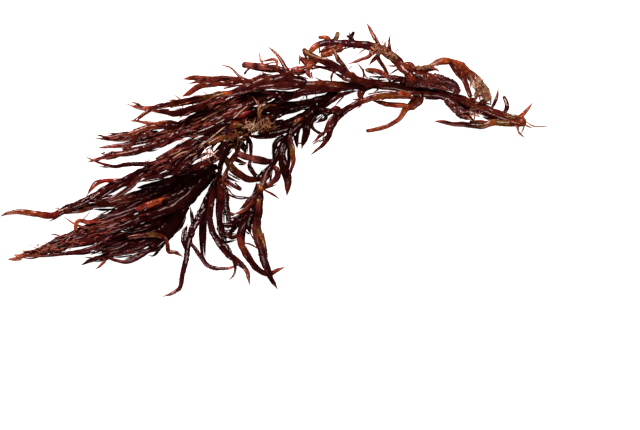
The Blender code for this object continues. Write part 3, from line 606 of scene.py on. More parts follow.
@dataclass
class Frond:
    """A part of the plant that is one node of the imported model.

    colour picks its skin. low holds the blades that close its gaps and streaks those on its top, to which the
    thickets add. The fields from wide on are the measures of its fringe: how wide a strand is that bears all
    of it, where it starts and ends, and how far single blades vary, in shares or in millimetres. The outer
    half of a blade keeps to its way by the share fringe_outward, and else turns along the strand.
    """

    name: str
    colour: str
    dress: Dress
    strands: list[Strand]
    branchlets: list[Branchlets] = field(default_factory=list)
    low: list[Strand] = field(default_factory=list)
    streaks: list[Strand] = field(default_factory=list)
    thickets: list[Thicket] = field(default_factory=list)
    finer: list[Strand] = field(default_factory=list)
    wide: float = 1.3 * MM
    fringe_start: float = 0.06
    fringe_run: float = 0.74
    fringe_turns: Pair = (0.35, 1.5)
    fringe_aside: Pair = (0.2, 0.6)
    fringe_ahead: Pair = (0.5, 3.5)
    fringe_wobble: float = 0.35
    fringe_widths: Pair = (0.5, 0.8)
    fringe_stoutness: float = 0.06
    fringe_outward: float = 0.4

    def grow(self) -> None:
        """Draws the frond's strands in plan, and all that grows on them or lies among them."""
        for strand in self.strands:
            strand.draw(self.strands[strand.on] if strand.on >= 0 else None)
        self.grow_branchlets()
        self.grow_fringe()
        self.grow_fills()

    def grow_branchlets(self) -> None:
        """Adds the side blades that the solid has too."""
        for group in self.branchlets:
            draw = random.Random(group.seed)
            bearer = self.strands[group.on]
            for i in range(group.count):
                t = group.first + (group.last - group.first) * (i + 0.5 * draw.random()) / group.count
                ring = min(len(bearer.plan) - 2, int(t * (len(bearer.plan) - 1)))
                root = bearer.plan[ring] / MM
                ahead = (bearer.plan[ring + 1] - bearer.plan[ring]).normalized()
                side = 1 if i % 2 else -1
                out = turned(ahead, math.radians(group.spread) * side * draw.uniform(*group.turns))
                length = group.length * draw.uniform(*group.lengths)
                middle = root + out * length * 0.5
                tip = middle + (out * 0.5 + ahead * 0.5).normalized() * length * 0.5
                width = group.width * draw.uniform(*group.widths)
                branchlet = Strand([tuple(root), tuple(middle), tuple(tip)], width, on=group.on,
                                   sides=TWIG_SIDES)
                branchlet.draw(bearer)
                self.strands.append(branchlet)

    def grow_fringe(self) -> None:
        """Adds the finer side blades that only the looks have."""
        draw = random.Random(self.name)
        for k, bearer in enumerate(self.strands):
            if bearer.sides == TWIG_SIDES:
                continue
            stoutness = min(1.0, max(bearer.half_width) / self.wide)
            count = int(self.dress.fringe * stoutness * bearer.arc[-1] / (10 * MM))
            for i in range(count):
                blade = self._fringe_blade(k, (i + draw.random()) / count, 1 if (i + k) % 2 else -1, draw)
                if CLEARINGS.leave(blade):
                    self.finer.append(blade)

    def _fringe_blade(self, k: int, t: float, side: int, draw: random.Random) -> Strand:
        """Draws one finer side blade.

        Args:
            k: the number of the strand that bears it.
            t: the share of that strand's length where it starts.
            side: 1 for the left side of the strand, and -1 for the right.
            draw: the source of its random sizes.

        Returns:
            The blade, drawn in plan.
        """
        bearer, dress = self.strands[k], self.dress
        place = self.fringe_start + self.fringe_run * t
        ring = min(len(bearer.plan) - 2, int(place * (len(bearer.plan) - 1)))
        ahead = (bearer.plan[ring + 1] - bearer.plan[ring]).normalized()
        out = turned(ahead, math.radians(dress.spread) * side * draw.uniform(*self.fringe_turns))
        aside = Vector((-ahead.y, ahead.x)) * side * bearer.half_width[ring]
        aside = aside * draw.uniform(*self.fringe_aside) / MM
        root = bearer.plan[ring] / MM
        start = root + aside + ahead * draw.uniform(*self.fringe_ahead)
        reach = draw.uniform(*dress.reach)
        wobble = [draw.uniform(-self.fringe_wobble, self.fringe_wobble) for _ in range(2)]
        middle = start + out * reach * 0.5 + Vector(wobble)
        onward = out * self.fringe_outward + ahead * (1 - self.fringe_outward)
        tip = middle + onward.normalized() * reach * 0.5
        width = draw.uniform(*self.fringe_widths) + self.fringe_stoutness * reach
        blade = Strand([tuple(root), tuple(start), tuple(middle), tuple(tip)], width, on=k, sides=TWIG_SIDES,
                       look=dress.fringe_look)
        blade.draw(bearer)
        return blade

    def grow_fills(self) -> None:
        """Draws the blades that close the frond's gaps and those on its top, and adds the thickets."""
        for blade in [*self.low, *self.streaks]:
            blade.draw()
        draw = random.Random("fill " + self.name)
        for thicket in self.thickets:
            (self.streaks if thicket.on_top else self.low).extend(thicket.grow(draw))

    def meet(self, blade: Strand) -> None:
        """Raises a low blade until it touches the nearest of the frond's own strands that pass over it.

        Args:
            blade: the blade, laid down.
        """
        least, ring = math.inf, 0
        for strand in self.strands:
            for i, place in enumerate(strand.plan):
                low = strand.height[i] - strand.half_thickness(i)
                for k, spot in enumerate(blade.plan):
                    if (spot - place).length < strand.half_width[i] + blade.half_width[k] + TOUCH:
                        gap = low - blade.height[k] - blade.half_thickness(k)
                        least, ring = min((least, ring), (gap, k))
        if 0 < least < math.inf:
            raised = list(blade.height)
            raised[ring] += least
            blade.height = eased(raised, blade.arc, LOW_SLOPE)

    def lay_down(self, heap: Heap) -> None:
        """Sets the height of every ring, and adds the frond to the heap.

        Args:
            heap: the fronds that lie there already.
        """
        need = [s.needed(heap, LAYER_GAP) for s in self.strands]
        for k in range(len(self.strands) - 1, 0, -1):
            strand = self.strands[k]
            root_need = eased(need[k], strand.arc, SLOPE)[0]
            need[strand.on][strand.at] = max(need[strand.on][strand.at], root_need)
        own = Heap()
        for k, strand in enumerate(self.strands):
            if strand.on < 0:
                strand.height = eased(need[k], strand.arc, SLOPE)
            else:
                strand.height = strand.climb(self.strands[strand.on], need[k], own)
            strand.height = [z + SETTLE * k if i or strand.on < 0 else z for i, z in enumerate(strand.height)]
            for i in range(len(strand.plan) - 1):
                for t, place, reach in strand.run(i):
                    top = strand.height[i] * (1 - t) + strand.height[i + 1] * t
                    own.add(place, reach, top + max(strand.half_thickness(i), strand.half_thickness(i + 1)))
        for blade in self.finer:
            blade.height = blade.climb(self.strands[blade.on], blade.needed(heap, 0.0), own)
        for blade in self.low:
            blade.height = eased(blade.needed(heap, 0.0), blade.arc, LOW_SLOPE)
            self.meet(blade)
        for blade in self.streaks:
            least = eased(blade.needed(heap, 0.0), blade.arc, STREAK_SLOPE)
            piled = eased(blade.needed(own, 0.0, 0.0), blade.arc, STREAK_SLOPE)
            blade.height = [min(ROOF, max(low, min(high, low + PILE_MOST)))
                            for low, high in zip(least, piled)]
        heap.top = np.maximum(heap.top, own.top)


CLEARINGS = Clearings(strands("""
    1.2 -54.4,-3.9 -58,-4.9 -62,-6.3 -66,-7.7; 1 -68.6,-15.4 -64.6,-12.8 -60.4,-10.6;
    0.9 -56,-9.2 -52,-8.9 -48.8,-8.5; 0.9 -102.6,-37.2 -98.6,-36 -95,-34.6;
    1.4 -28.8,-12 -30.9,-15 -32.7,-18 -33.5,-20 -33.9,-22.4; 1.3 -39.4,-32 -41.2,-34.6 -42.6,-37;
    1.4 -67.4,-15.6 -63.4,-13.2 -60,-10.2; 1.2 -59.4,-12.6 -56.8,-9.8; 1 -54.6,-9.9 -47,-8.1;
    1.2 -76.4,-12.2 -72,-10.8; 1.8 -57,-4.6 -61,-6 -67,-7; 1.4 -75.6,-9.2 -79.6,-12.2;
    1.6 -72.6,-22.6 -76,-23.8 -80,-24.6; 1.8 -79,-26 -84.6,-28.6 -91,-31 -98,-34.8;
    1.2 -100,-42.6 -90,-41.9 -82,-42; 0.8 -87,-38.6 -83.6,-38 -80.4,-37.5;
    0.8 -71.8,-33 -69.4,-32.2 -67,-31.6; 0.8 -82.4,-29.2 -81,-28.4; 0.8 -67.6,-42 -64,-41.7 -61,-41.3;
    1.2 -71,-43.8 -65,-45 -60,-45; 1.2 -58.6,-43.6 -54,-42.6; 0.6 -25.1,-19 -25.3,-27; 1.2 -32.6,-30 -33,-36;
    0.6 -20.8,-25.2 -20.8,-27.8; 0.8 -16,-28.2 -17.6,-30.4; 1.4 -11.4,-32.6 -10,-34.8;
    3.4 -8.4,2.4 -5,6.4 -2,3; 1.6 -8.6,-2.9 -5.4,-5.4; 1.7 -27.4,3.7 -23.4,5.5; 0.8 -22.3,-1.3 -17.5,2.2;
    0.7 -16.9,-3.8 -15.8,-2.8; 1.3 9.8,19.7 6,18.2 3.2,16.9; 1.3 8.4,25 12.2,26.3; 1.1 14.2,25.4 17.4,26.6;
    1.9 24.6,23.4 28.2,25.6; 1.9 28.6,21.8 31.6,24 33.8,26; 1.6 17,15.2 19.4,13 20.4,11.6;
    0.9 10.4,7 11.2,11.6; 1.8 17,36.6 20,34.8 23,33; 1 25.4,33.4 26.8,32.4; 0.7 -46,21.2 -41,21.6;
    0.7 -36.6,22.5 -32.4,23; 1.7 -33.6,27.2 -27,28.8 -20,29.8; 1.5 -55,17 -48,17.4 -40,16.8;
    0.5 -60,5 -54,5.9; 0.5 -52,11.9 -47.6,12.3; 0.4 -70,6.9 -61,6.8; 0.7 -38,8.2 -35.6,9.4 -33,10.2;
    0.9 -66,-0.5 -56,0.5 -50,1.5 -45,3.1; 1 -77,8.9 -73.6,7.4 -74,6 -72.4,3; 0.4 -71,3.6 -65,3.6;
    0.8 -60,12.6 -54,14.2; 0.7 -4.6,-16 -4.8,-24 -4.4,-31; 0.7 83,33.4 83.2,31.6; 0.7 83.7,28.6 83.6,26.6;
    1 82.4,18.2 82.8,17; 1.2 85,18.2 87.4,17.4
"""))

TUFTS = (
    Tuft((-6.4, 13.4), (5.6, 1.8), 32, "wgtb", length=(3.0, 7.0), width=0.3, curl=260.0),
    Tuft((-9.6, 13.2), (3.0, 1.2), 30, "tgfg", length=(2.0, 4.6), curl=260.0),
    Tuft((-2, 14.4), (1.6, 1.4), 10, "wgtb", length=(2.0, 4.6), curl=260.0),
    Tuft((-16, 9.4), (3.4, 2.0), 18, "wbgt", length=(3.0, 6.0), width=0.3, curl=240.0),
    Tuft((-6.4, 20.8), (0.6, 2.6), 9, "bgtb", heading=90.0, spread=18.0, curl=60.0),
    Tuft((-28, 1.6), (3.4, 2.6), 9, "tn", length=(4.0, 8.0), width=0.4),
    Tuft((-41, 2.4), (4.0, 2.0), 9, "wnb", length=(4.0, 8.0), heading=35.0, spread=14.0, curl=30.0),
    Tuft((-48, -2.4), (7.0, 2.4), 16, "wnb", length=(3.0, 7.0), heading=26.0, spread=12.0, curl=30.0),
    Tuft((-21, 23), (9.0, 3.4), 30, "wnb", length=(3.0, 9.0), heading=28.0, spread=16.0, curl=40.0),
    Tuft((-30, 16), (10.0, 4.0), 24, "wnb", heading=28.0, spread=12.0, curl=40.0),
    Tuft((-44, 9), (10.0, 4.0), 20, "wnb", heading=20.0, spread=14.0, curl=40.0),
    Tuft((-95, -37.6), (7.0, 1.6), 30, "bnt", length=(1.5, 4.0), heading=25.0, spread=30.0, curl=60.0),
    Tuft((-86, -35), (6.0, 2.0), 20, "wnb", length=(2.0, 5.0), heading=25.0, spread=20.0, curl=50.0),
    Tuft((-72, -29), (8.0, 4.0), 20, "wnb", length=(2.0, 7.0), heading=24.0, spread=16.0, curl=40.0),
    Tuft((14, 26), (6.0, 2.4), 7, "kwb", length=(2.0, 5.0)),
    Tuft((13, 22), (4.0, 2.0), 5, "kwb", length=(2.0, 4.0)),
    Tuft((43, 45.6), (3.4, 1.8), 34, "ntn", length=(1.2, 3.0), width=0.45),
    Tuft((48, 43.4), (2.4, 2.0), 20, "ntb", length=(1.2, 3.0), width=0.4),
    Tuft((56, 31.8), (4.0, 1.6), 12, "kwb", length=(1.2, 3.2), width=0.4),
    Tuft((87, 28), (2.4, 3.4), 44, "gtb", length=(1.4, 3.6), width=0.42),
    Tuft((84, 31), (1.8, 3.0), 22, "gft", length=(1.4, 3.4), width=0.42),
    Tuft((82, 18.6), (3.0, 1.8), 18, "ntn", length=(1.6, 3.6), width=0.4),
    Tuft((62, 38.2), (3.6, 0.7), 20, "gtn", length=(1.6, 4.0), spread=24.0, curl=50.0),
    Tuft((99, 17.6), (3.0, 0.8), 14, "gtb", length=(2.0, 4.0), heading=-14.0, spread=20.0, curl=20.0),
)

# Hairs, and in the first two rows pale strands laid along creases as painted highlight lines.
HAIRS_AND_PAINTED_HIGHLIGHTS = strands("""
    fft 0.45 -11.2,21.9 -14.5,19.1 -20.3,13.6 -26.1,8.8 -31.9,4.3; ftf 0.4 -30.7,15.9 -24.6,19 -18.7,21.9;
    ttf 0.4 -43.9,1 -40.6,2.4 -37.7,4.5; tft 0.4 -42.6,-0.2 -39,2.1 -34.9,3.2; tt 0.4 -36,0.7 -32.3,2.2;
    ff 0.5 -31.2,10.7 -32.5,7.5; nn 0.4 -28,26.7 -30.5,28.3; nt 0.4 -60.5,23 -63.5,22.5;
    ttb 0.6 24.5,46 26,43 26.2,40; gttb 0.7 11.8,45 17,42.6 21.6,41.4 25.6,40.6; tn 0.4 35.3,43.7 37.7,45.7;
    bn 0.4 32.6,39 31.8,38 31,37; bn 0.5 50.8,44.5 51.4,45.2 51.8,46.4; nn 0.4 45.6,47.6 45.2,48.8 46,49.8;
    nn 0.4 46.4,47.4 46.8,48.6 46.2,49.6; bn 0.4 29.6,32.4 29.2,34; tn 0.5 105,14.2 107,13.4 108.3,12.6
""")


def drawn_fronds() -> list[Frond]:
    """Gives every frond of the sprig in the order in which they lie on each other, lowest first."""
    return [
        Frond("frond_under", "wine", Dress("kkkkkpkk", fringe=1.2, fringe_look="kkwk", wet=0.3), strands("""
    2.4/4.4/4.6/3.6/2.4/1.4 -24.4,-5.4 -31.6,-12.6 -40.2,-21.4 -48,-28 -57,-31.6 -65,-34 -70,-36.4
        -73.8,-34.8;
    kkkkwkw @0 2.2/4.2/4.6/4.2/3.4/2.2/1.2 -26.6,-7.6 -36,-16.6 -42.4,-24.8 -48.4,-31.4 -55,-35.6 -63,-38.4
        -70,-40.6 -76,-42.3 -81.2,-44.7;
    kkkk @1 2.8 -38,-20.4 -42.6,-28.4 -47.4,-33.8 -52.4,-37.8 -58,-41.4;
    kkkpwrr @1 1.8 -42,-27 -48,-34.8 -54,-39.6 -57.6,-42 -61.4,-43.4 -66,-43 -70.4,-41.6 -74,-42 -80.2,-41.4;
    rrn @3 1.4 -69,-41 -71.8,-43.8 -75.6,-47;
    kkkw @1 1.5 -45,-31 -52,-37.4 -57.5,-40.2 -62.8,-42.2;
    kkpwb @0 2.2 -41,-23 -48,-29.6 -57,-32 -65,-31.3 -71.8,-31.5;
    kkkk @0 3.8 -35,-16 -41,-25 -45.8,-31.4 -49.6,-36;
    kkkwb @1 2.6 -55,-35 -61,-36.2 -67,-38.6 -72,-38.4 -77.4,-38.2
    """), [Branchlets(1, 6, 9, 11, spread=12), Branchlets(0, 6, 9, 12, spread=12)], low=strands("""
    kkk 2 -37.4,-24 -39.2,-28 -42,-32; wb 1.6 -62.5,-35.3 -66,-36.6 -69.4,-37.6;
    kw 1.5 -65,-31.6 -67.6,-33.6 -70.4,-35.6; kw 1.2 -57,-39 -61.6,-39.8 -66.4,-40.6;
    kk 1.3 -46.2,-36 -49,-39 -51,-40.9 -53.2,-40.6; kkk 2.7 -37.4,-21.6 -38.9,-26 -41,-31;
    kk 1.5 -46,-35 -49,-37.9 -53,-39.7; kp 0.8 -59.6,-40.6 -63.6,-41.3 -67.6,-41.6;
    kk 3 -41.2,-28 -44.2,-32.6 -46.8,-37; kk 4.2 -41.2,-24.4 -45,-31 -49.6,-36;
    kwp 1.6 -60,-38 -66,-39.4 -71,-41; wb 0.9 -71,-41.8 -73.4,-43 -75.4,-43.4
    """), thickets=thickets("""
    x60 kkk 1.2/4/7/8/6.4/3.6 blade=1.6/2.8 -28.2,-9 -37.8,-20 -45.4,-28 -52,-32.4 -60,-36 -69,-39;
    x10 kkpkk 3/6/8/6/3 top blade=1.2/2.2 -38,-19 -46,-26 -56,-31.4 -66,-35 -77,-38.6;
    x9 kpwb 4/5/3.6/2 top blade=0.8/1.4 -46,-33 -54,-37.6 -62,-39.6 -72,-41.4
    """)),
        Frond("frond_long", "wine", Dress("kkkwkw", fringe=1.2, fringe_look="kkwb", wet=0.32), strands("""
    kkkkkkwkkwwbun 2.4/4.4/4.8/4.6/4.6/4.4/3.4/2/0.8 -24,-3 -32,-7.2 -40,-11.2 -48,-15 -56,-18.8 -64,-22.8
        -72,-26.8 -80,-30.4 -88,-34 -96,-37.4 -103,-40.2 -108,-41.8 -112.4,-42.3;
    kkpk @0 2.2/3.6/3.8/3.2/1.4 -25,-2 -34,-6 -43,-9.4 -51,-11.4 -57.8,-12.3;
    kkkpk @0 3.2 -30,-6.5 -38,-14 -47,-18 -57,-21.2 -67,-24.1 -75.6,-26.8;
    kkkkkkwkpwwb @0 3.8 -30,-6.5 -38,-17.4 -47,-22.4 -57,-25.6 -67,-28.6 -77,-32 -87,-36 -96,-39.2 -104,-41.4;
    kwkbwr @0 2.2 -50,-17 -60,-23 -69,-26.6 -78,-29.6 -86,-32.4 -93.2,-33.2;
    kkwwkb @3 2.4 -60,-26.6 -70,-32.6 -79,-35.2 -88,-36.8 -99.8,-37.5;
    kkwpwb @3 2 -62,-27.2 -71,-34.8 -80,-38.8 -87,-39.8 -96,-40.9 -104,-41.4;
    rnn @4 1 -77,-29.4 -82.4,-28.2 -88.5,-24.5;
    wut @0 1 twig -99,-38.6 -103,-39.4 -106.4,-39;
    bot @0 1.1 twig -103,-40.2 -107,-41.2 -110,-40.3;
    bot @0 1.1 twig -103,-40.2 -106.5,-41.7 -108.6,-43.1;
    kkkwbwbub @0 3 -42,-12 -51,-14.4 -60,-17 -69,-19 -78,-20 -89,-22.4;
    kkkkwb @0 3.4 -36,-9 -44,-15.6 -50,-19.6 -60,-27 -70,-30.4 -80,-33;
    kkk @0 3 -31,-7 -36,-12.4 -41.5,-16.4 -48,-19.8
    """), [Branchlets(0, 9, 9, 21, first=0.3, spread=13), Branchlets(3, 8, 9, 22, first=0.3, spread=13),
         Branchlets(11, 6, 8, 23, spread=12)], low=strands("""
    kkw 2.2 -63,-20.4 -70,-24 -75,-26.4; kkk 2.4 -48,-26.6 -56,-29.6 -65,-31.6;
    kw 1 -75.6,-35.9 -81,-36.6 -88,-37.8; kw 1.1 -66.6,-21.3 -71,-21.5 -76.4,-21.3;
    kkk 2.2 -45.6,-10.4 -51,-11.8 -57.4,-13.6; kkw 2 -46,-24.4 -55,-28 -63.6,-30.4;
    wpw 1.2 -87.6,-38.4 -91,-39 -95,-39.8; wbb 1.8 -54,-12.8 -62,-15.8 -70,-18.4 -77,-19.6;
    pww 1.1 -75,-39.1 -80,-39.9 -86,-40.4; wr 0.7 -90,-32.4 -92.4,-31.9 -94.2,-31.9;
    bn 0.7 -101,-38.6 -104,-38.9 -106,-38.6; bon 0.8 -104,-40.2 -107,-40.5 -109.4,-40.2;
    ono 0.8 -106,-42.4 -109,-42.8 -112,-42.4; wb 0.9 -99,-41.4 -102,-42 -105.4,-41.8
    """), thickets=thickets("""
    x90 kkk 2/7/10/10/9/7/5/2.6 blade=1.6/2.8 -25,-4 -34,-9.6 -44,-15 -55,-21 -66,-26 -76,-30 -87,-34.6
        -98,-38.4;
    x20 kkkwpw 4/8/9/8/6/5/2.4 top blade=1.1/2.2 -30,-5.6 -40,-11 -52,-17 -64,-22.4 -76,-27.4 -88,-33
        -100,-38.6;
    x14 kwwkk 4/6/6/5/3 top blade=0.8/1.4 -46,-21 -58,-27 -70,-31.4 -82,-35.8 -94,-38.8;
    x34 kwbw 6/6/4.6/2 length=4/9 blade=1.2/2.2 -78,-31 -86,-34.8 -94,-37.8 -103,-40.4;
    x16 wbwub 6/5.6/4.4/2 top length=4/9 blade=0.8/1.6 -80,-32 -88,-35.6 -95,-38 -103,-40.2
    """)),
        Frond("drooping_frond_left", "wine", Dress("kpkwp", beads=0.13, fringe=0.4, reach=(2.0, 5.0),
              wet=0.75), strands("""
    kkkkpkpwpn 1.8/2.9/3/3.2/2.3/2.2/1.9/1 -22.5,-5 -25.4,-11 -28.5,-18 -31.5,-24 -34.4,-30 -36.2,-36 -37,-42
        -38.5,-48 -39.6,-54 -42,-56.1 -46.9,-58.1;
    kppwpnn @0 1.9 -36,-35 -33,-38.4 -30.5,-41.8 -28.3,-44.7 -25,-46 -20.5,-46.2 -16.5,-45.2 -13.8,-43.9;
    kpkk @0 2.2 -28,-16 -29.6,-22 -30.5,-28 -30.7,-34 -30.3,-40 -29,-44;
    kpkk @0 1.7 -27,-14 -28.4,-21 -29.2,-28 -29.3,-35 -29.2,-42;
    kk @0 1.7 -34.2,-29 -34.6,-24.2 -35.4,-19.8;
    kp @0 1.9 -36,-37.2 -38.2,-34.8 -38.1,-30.8 -36.2,-27.4
    """), [Branchlets(0, 4, 5, 31, last=0.5, spread=20)], low=strands("""
    kp 0.8 -36.7,-28.6 -37.4,-34.6; kpk 1.3 -33.6,-29 -34.9,-33 -34.6,-36 -32.4,-38.8
    """)),
        Frond("drooping_frond_middle", "wine", Dress("kkwp", beads=0.13, fringe=0.4, reach=(2.0, 5.0),
              wet=0.75), strands("""
    kkwkpkwpbn 1.8/2.6/2.5/2.8/3/2.2/1.2 -23.4,-6 -25.4,-13 -26.6,-20 -26.9,-27.3 -25.2,-32 -22.1,-36.9
        -18.5,-40.9 -14.8,-43.8 -11.6,-47.2 -10.5,-53.3;
    kkwwn @0 2.6/2.2/1.2/1/0.8 -23,-34 -20.2,-37.2 -17.7,-41.6 -16.4,-45.8 -17.2,-49 -19.3,-51.3;
    kk @0 2.2 -24,-8 -23.6,-16 -23.6,-24 -23.3,-30.6 -22.6,-34;
    kwwkkk @0 3 -24,-8 -20.8,-14 -20.2,-20 -19,-25.4 -16.9,-30.4;
    kkp @2 2.4 blunt -22.6,-31.8 -19,-28 -15.6,-25.4;
    pkb @2 2 blunt -22.6,-34.2 -18.4,-33 -14.9,-32
    """), [Branchlets(3, 4, 5, 41, spread=18)], low=strands("""
    kp 0.7 -24.4,-29 -22.2,-33.4; kk 0.6 -21.2,-22 -21.2,-28; kw 1.6 -22.2,-18 -22.4,-23 -22.6,-27.4;
    kp 2.2 -22.6,-28 -22,-31.4 -21,-34.6; kk 3.2 -24,-6 -23,-11 -22,-16; kw 1 -20.2,-23.6 -20,-26 -19.6,-28.4;
    kw 1.6 -19,-22.6 -17.6,-23.5 -16.2,-23; kw 1 -15.2,-25.2 -15,-27.2 -17,-29;
    kw 0.9 -20.6,-30.4 -18.8,-30 -17,-29.6; kw 1 -18.8,-32 -16.2,-31.5; kw 1.3 -20.6,-33.2 -20.1,-35.4;
    kwk 1.1 -22.4,-33 -21,-35 -18,-34.7 -15.4,-33.9; kk 1.1 -17.8,-7.2 -15.6,-8.4 -14.2,-9.2;
    kk 0.8 -16.8,-10 -15,-11.6 -13.4,-12.8; kw 1.1 -0.6,-3 -1,-5 -2.8,-9; kw 1 -7.4,-7.5 -6.2,-7 -5,-4.6
    """), streaks=strands("""
    kpwkp 1.7 -21.6,-10 -20.6,-18 -19,-25 -17.6,-31;
    kbwkpkkp 2.4/2.4/2/1.4 -22.7,-8 -22.5,-16 -22.7,-24 -22.3,-33.4;
    kkpkk 1/1.7/1.9/1.6 -23,-34.6 -19,-31.8 -15.8,-28 -12.8,-24.4
    """)),
        Frond("crossing_frond", "russet", Dress("gbbw", crease=0.09, fringe=0.5, reach=(2.0, 4.0)),
              strands("""
    ggbbwbw 2/3/3.2/3/2.4/1.6 blunt -22.4,1.4 -19.4,-1.4 -17.3,-4.8 -13.6,-7.2 -9.8,-9 -6,-8.6 -3.2,-8.6;
    bpnpw @0 2.2/2.6/2.8/2.8/1.8 blunt -19.2,-1.6 -15.8,1.6 -12.2,0.7 -8,-0.1 -3.6,-1.1 0.8,-1.7;
    wkw @1 1.8 blunt -12.2,0.6 -10.4,-3.6 -7.6,-8;
    bgb @1 2.6 blunt -16,1.4 -15.4,5 -17.6,9;
    wpkk @1 1.8 blunt -12,0.8 -9.9,3.8 -10.3,7 -12.6,10.4;
    bk @0 1.3 -20.4,-3 -20,-7.1 -17.4,-9 -14.2,-10.2;
    kw @0 1.7 blunt -20.8,-2.6 -20.6,-8.4 -17,-11.5 -13.7,-13.4;
    bu @0 1 twig -21.2,-2 -21.6,-9 -17.4,-12.9;
    bwkk @0 1 twig -21.4,-1.6 -21.4,-12.4 -17.6,-16 -13.2,-16.9 -8.8,-15.8
    """), low=strands("""
    kkw 3 -16.8,-0.2 -14,-1.4 -11.4,-1.9; wkk 3.2 -14.8,8.6 -13.1,5 -12.2,1.6;
    wk 2.2 -17.6,3.8 -17,5 -16.6,6.6; wk 1.2 -11.6,7.8 -11.3,5 -11.5,2; wk 1.1 -15.4,-2.4 -12.4,-2.8;
    pw 0.9 -9.6,-1.6 -6,-2.2 -3,-2.8; kw 0.8 -9.6,-3.4 -7.4,-6.8 -5.6,-6.4;
    kk 1.4 -7.4,-10.2 -7.8,-12.6 -9.4,-14.6
    """)),
        Frond("side_axis", "wine", Dress("kkkw", crease=0.13, beads=0.06, fringe=0.7, reach=(2.5, 7.0),
              fringe_look="kkwb", wet=0.35), strands("""
    kkkkkkkkkkwbgwkwbwkwrn 3.4/3.6/3/2.6/2.6/2.8/2.8/3/2.4/1.2 flatness=0.75 27,29 22.8,26 19.4,21.8 14,16.6
        8.4,12 3.8,6.4 1,0.6 -2.1,-4.8 -4.6,-9.7 -6.6,-14.4 -8.4,-19.6 -11,-24.4 -13.7,-29 -14.4,-34
        -12.4,-39.2 -9.6,-43.6 -6.3,-47.1 -2.6,-48.7 0.4,-47.2 4.4,-45.6;
    wwbbuu @0 2 -6.4,-14 -9.6,-18.8 -13,-21.8 -17.9,-23.9;
    kkwwbbwkpkw @0 2.4/3.6/3.6/4.2/3.6/2.6/1.2 -6.4,-14 -6.6,-21 -7.4,-27 -7.2,-32 -5.5,-37 -4.5,-42 -3,-46.6
        -1.2,-50.8 1.3,-54.9;
    kkkk @0 3.4 -8,-17.6 -9.8,-23 -10.8,-28.6 -9.6,-32.6;
    rrn @0 0.8 twig -14,-36.4 -9.8,-36.1 -6,-38.6;
    bwpbw @0 2.5 blunt -0.8,-2.4 1.1,-4.8 1.2,-8 -1,-10.2 -4.6,-11.8;
    wrr @0 1.1 -4.8,-11 -0.4,-15.2 2.4,-17.4;
    kkkkkkkbr @0 2.4/3/3/3.8/4/2.8/1.2 9,12.4 5,7.6 3.3,3 3.5,-1.4 4.8,-6 5.7,-10 5.2,-15.8;
    kkkkb @0 3.4 15.6,18 13.8,13.4 13,9.4 11.8,5.6 11.3,3.6;
    kkb @0 1.5 13,15.6 9.6,9.6 9.8,4.3;
    kkkkk @0 3.6 20.4,22 16,20 13,16.8 9,14.8 3,13.4 -3,11.4 -8,10.2;
    kkkkk @0 3.2 22.6,25.6 17,24.2 10,22.2 3,20.3 -4,17;
    kkb @0 1.6 20,21 21.6,17.4 19.6,15.8 16.7,14.8;
    kkk @0 1.6 blunt 20,22.4 17.4,18 15.5,14.2 17.4,11.6 20.2,10
    """), [Branchlets(0, 5, 7, 51, last=0.5, spread=26), Branchlets(11, 4, 7, 52, spread=22)], low=strands("""
    kk 0.9 1.6,16.8 4,18.6 8,19.4 12.4,20.6; kw 1 16,15 18,16.6 20.4,18.6; kw 0.5 9,26.7 15,27 21.6,27.6;
    wk 0.7 16,5.8 19.6,8.2; wb 0.8 18.6,7 22.6,8.6; kw 1.1 -16,-0.4 -13.6,-2 -11.4,-2.4;
    kw 0.9 -19.8,0.8 -17.4,3.8; kn 0.9 -29,3.4 -26.4,5; kw 0.6 -12,2 -11.6,9;
    kk 0.8 -19.4,-6.2 -17,-7.8 -14.6,-9.2; wk 0.6 -19.6,-12.4 -16.6,-15.6 -9.6,-16.4;
    kk 1 8.5,23.4 5,22.4 1,21.4; kk 0.7 13.2,27.4 13.5,25.8 13.3,24.4; kkk 2.3 19,24.4 11,23.2 4,22.8 -4,22.4;
    kkk 2.5 16,22.8 9,21.3 3,19.5 -2,18.6; kkk 2.9 15,20 10,17 5,15.1 -2,13.4;
    kk 2.2 20,22.6 15,20.7 11.4,20.6; kk 2 4,16 0,15.2 -4,14.4; kk 1.9 16.4,20.4 12.6,19.4 11,18.2;
    kkkw 3 7,12.4 0,10.6 -6,9.2 -11.4,9.6; kkk 2.2 4.4,9.6 0.8,7 -0.3,3 -0.9,-0.4;
    kkw 2 6,8.8 6.2,3 6,-2 6,-5.6; kk 1.6 8,10 8.9,7 9.5,4; kwp 2.5 -7.6,-14.4 -11.6,-19 -15,-21.6;
    kkw 2.2 -10.4,-21.4 -14.6,-24.5 -19.2,-25.1; kk 1.6 -11.6,-28 -12.8,-32 -12.4,-36;
    kk 1.6 -1,-2 -4,-5.4 -6,-10; kw 1 -4.4,-12.8 -0.6,-11.6 1.4,-10.6; kw 0.8 1.8,-1.6 2.2,-4;
    kk 1 -6.5,8.4 -2,8.7 2,9; kk 0.8 9.8,6.4 12.2,6.4; kk 1 -12,-30.4 -11.2,-31.4 -10.2,-31.9;
    kk 0.7 -9.3,-28.4 -9.2,-31.6; kk 1.4 -10.4,10.6 -9.4,8.2
    """), streaks=strands("""
    gfg 0.8 25,21.2 26.4,20.9 26.7,19.6
    """), thickets=thickets("""
    x40 kkk 1.4/3.4/3.6/3/2 length=4/10 blade=1.2/2.2 24,26.6 18,24.2 11,22.6 3,21.4 -4,21;
    x46 kkk 2/4/4/5/3.6 length=4/10 blade=1.2/2.2 21,21 15,18.6 9,15.4 1,12.6 -8,11;
    x10 kkwk 2/3/3.6/3 top length=4/10 blade=0.6/1.1 21,23 13,18 6,14.4 -4,11.6
    """)),
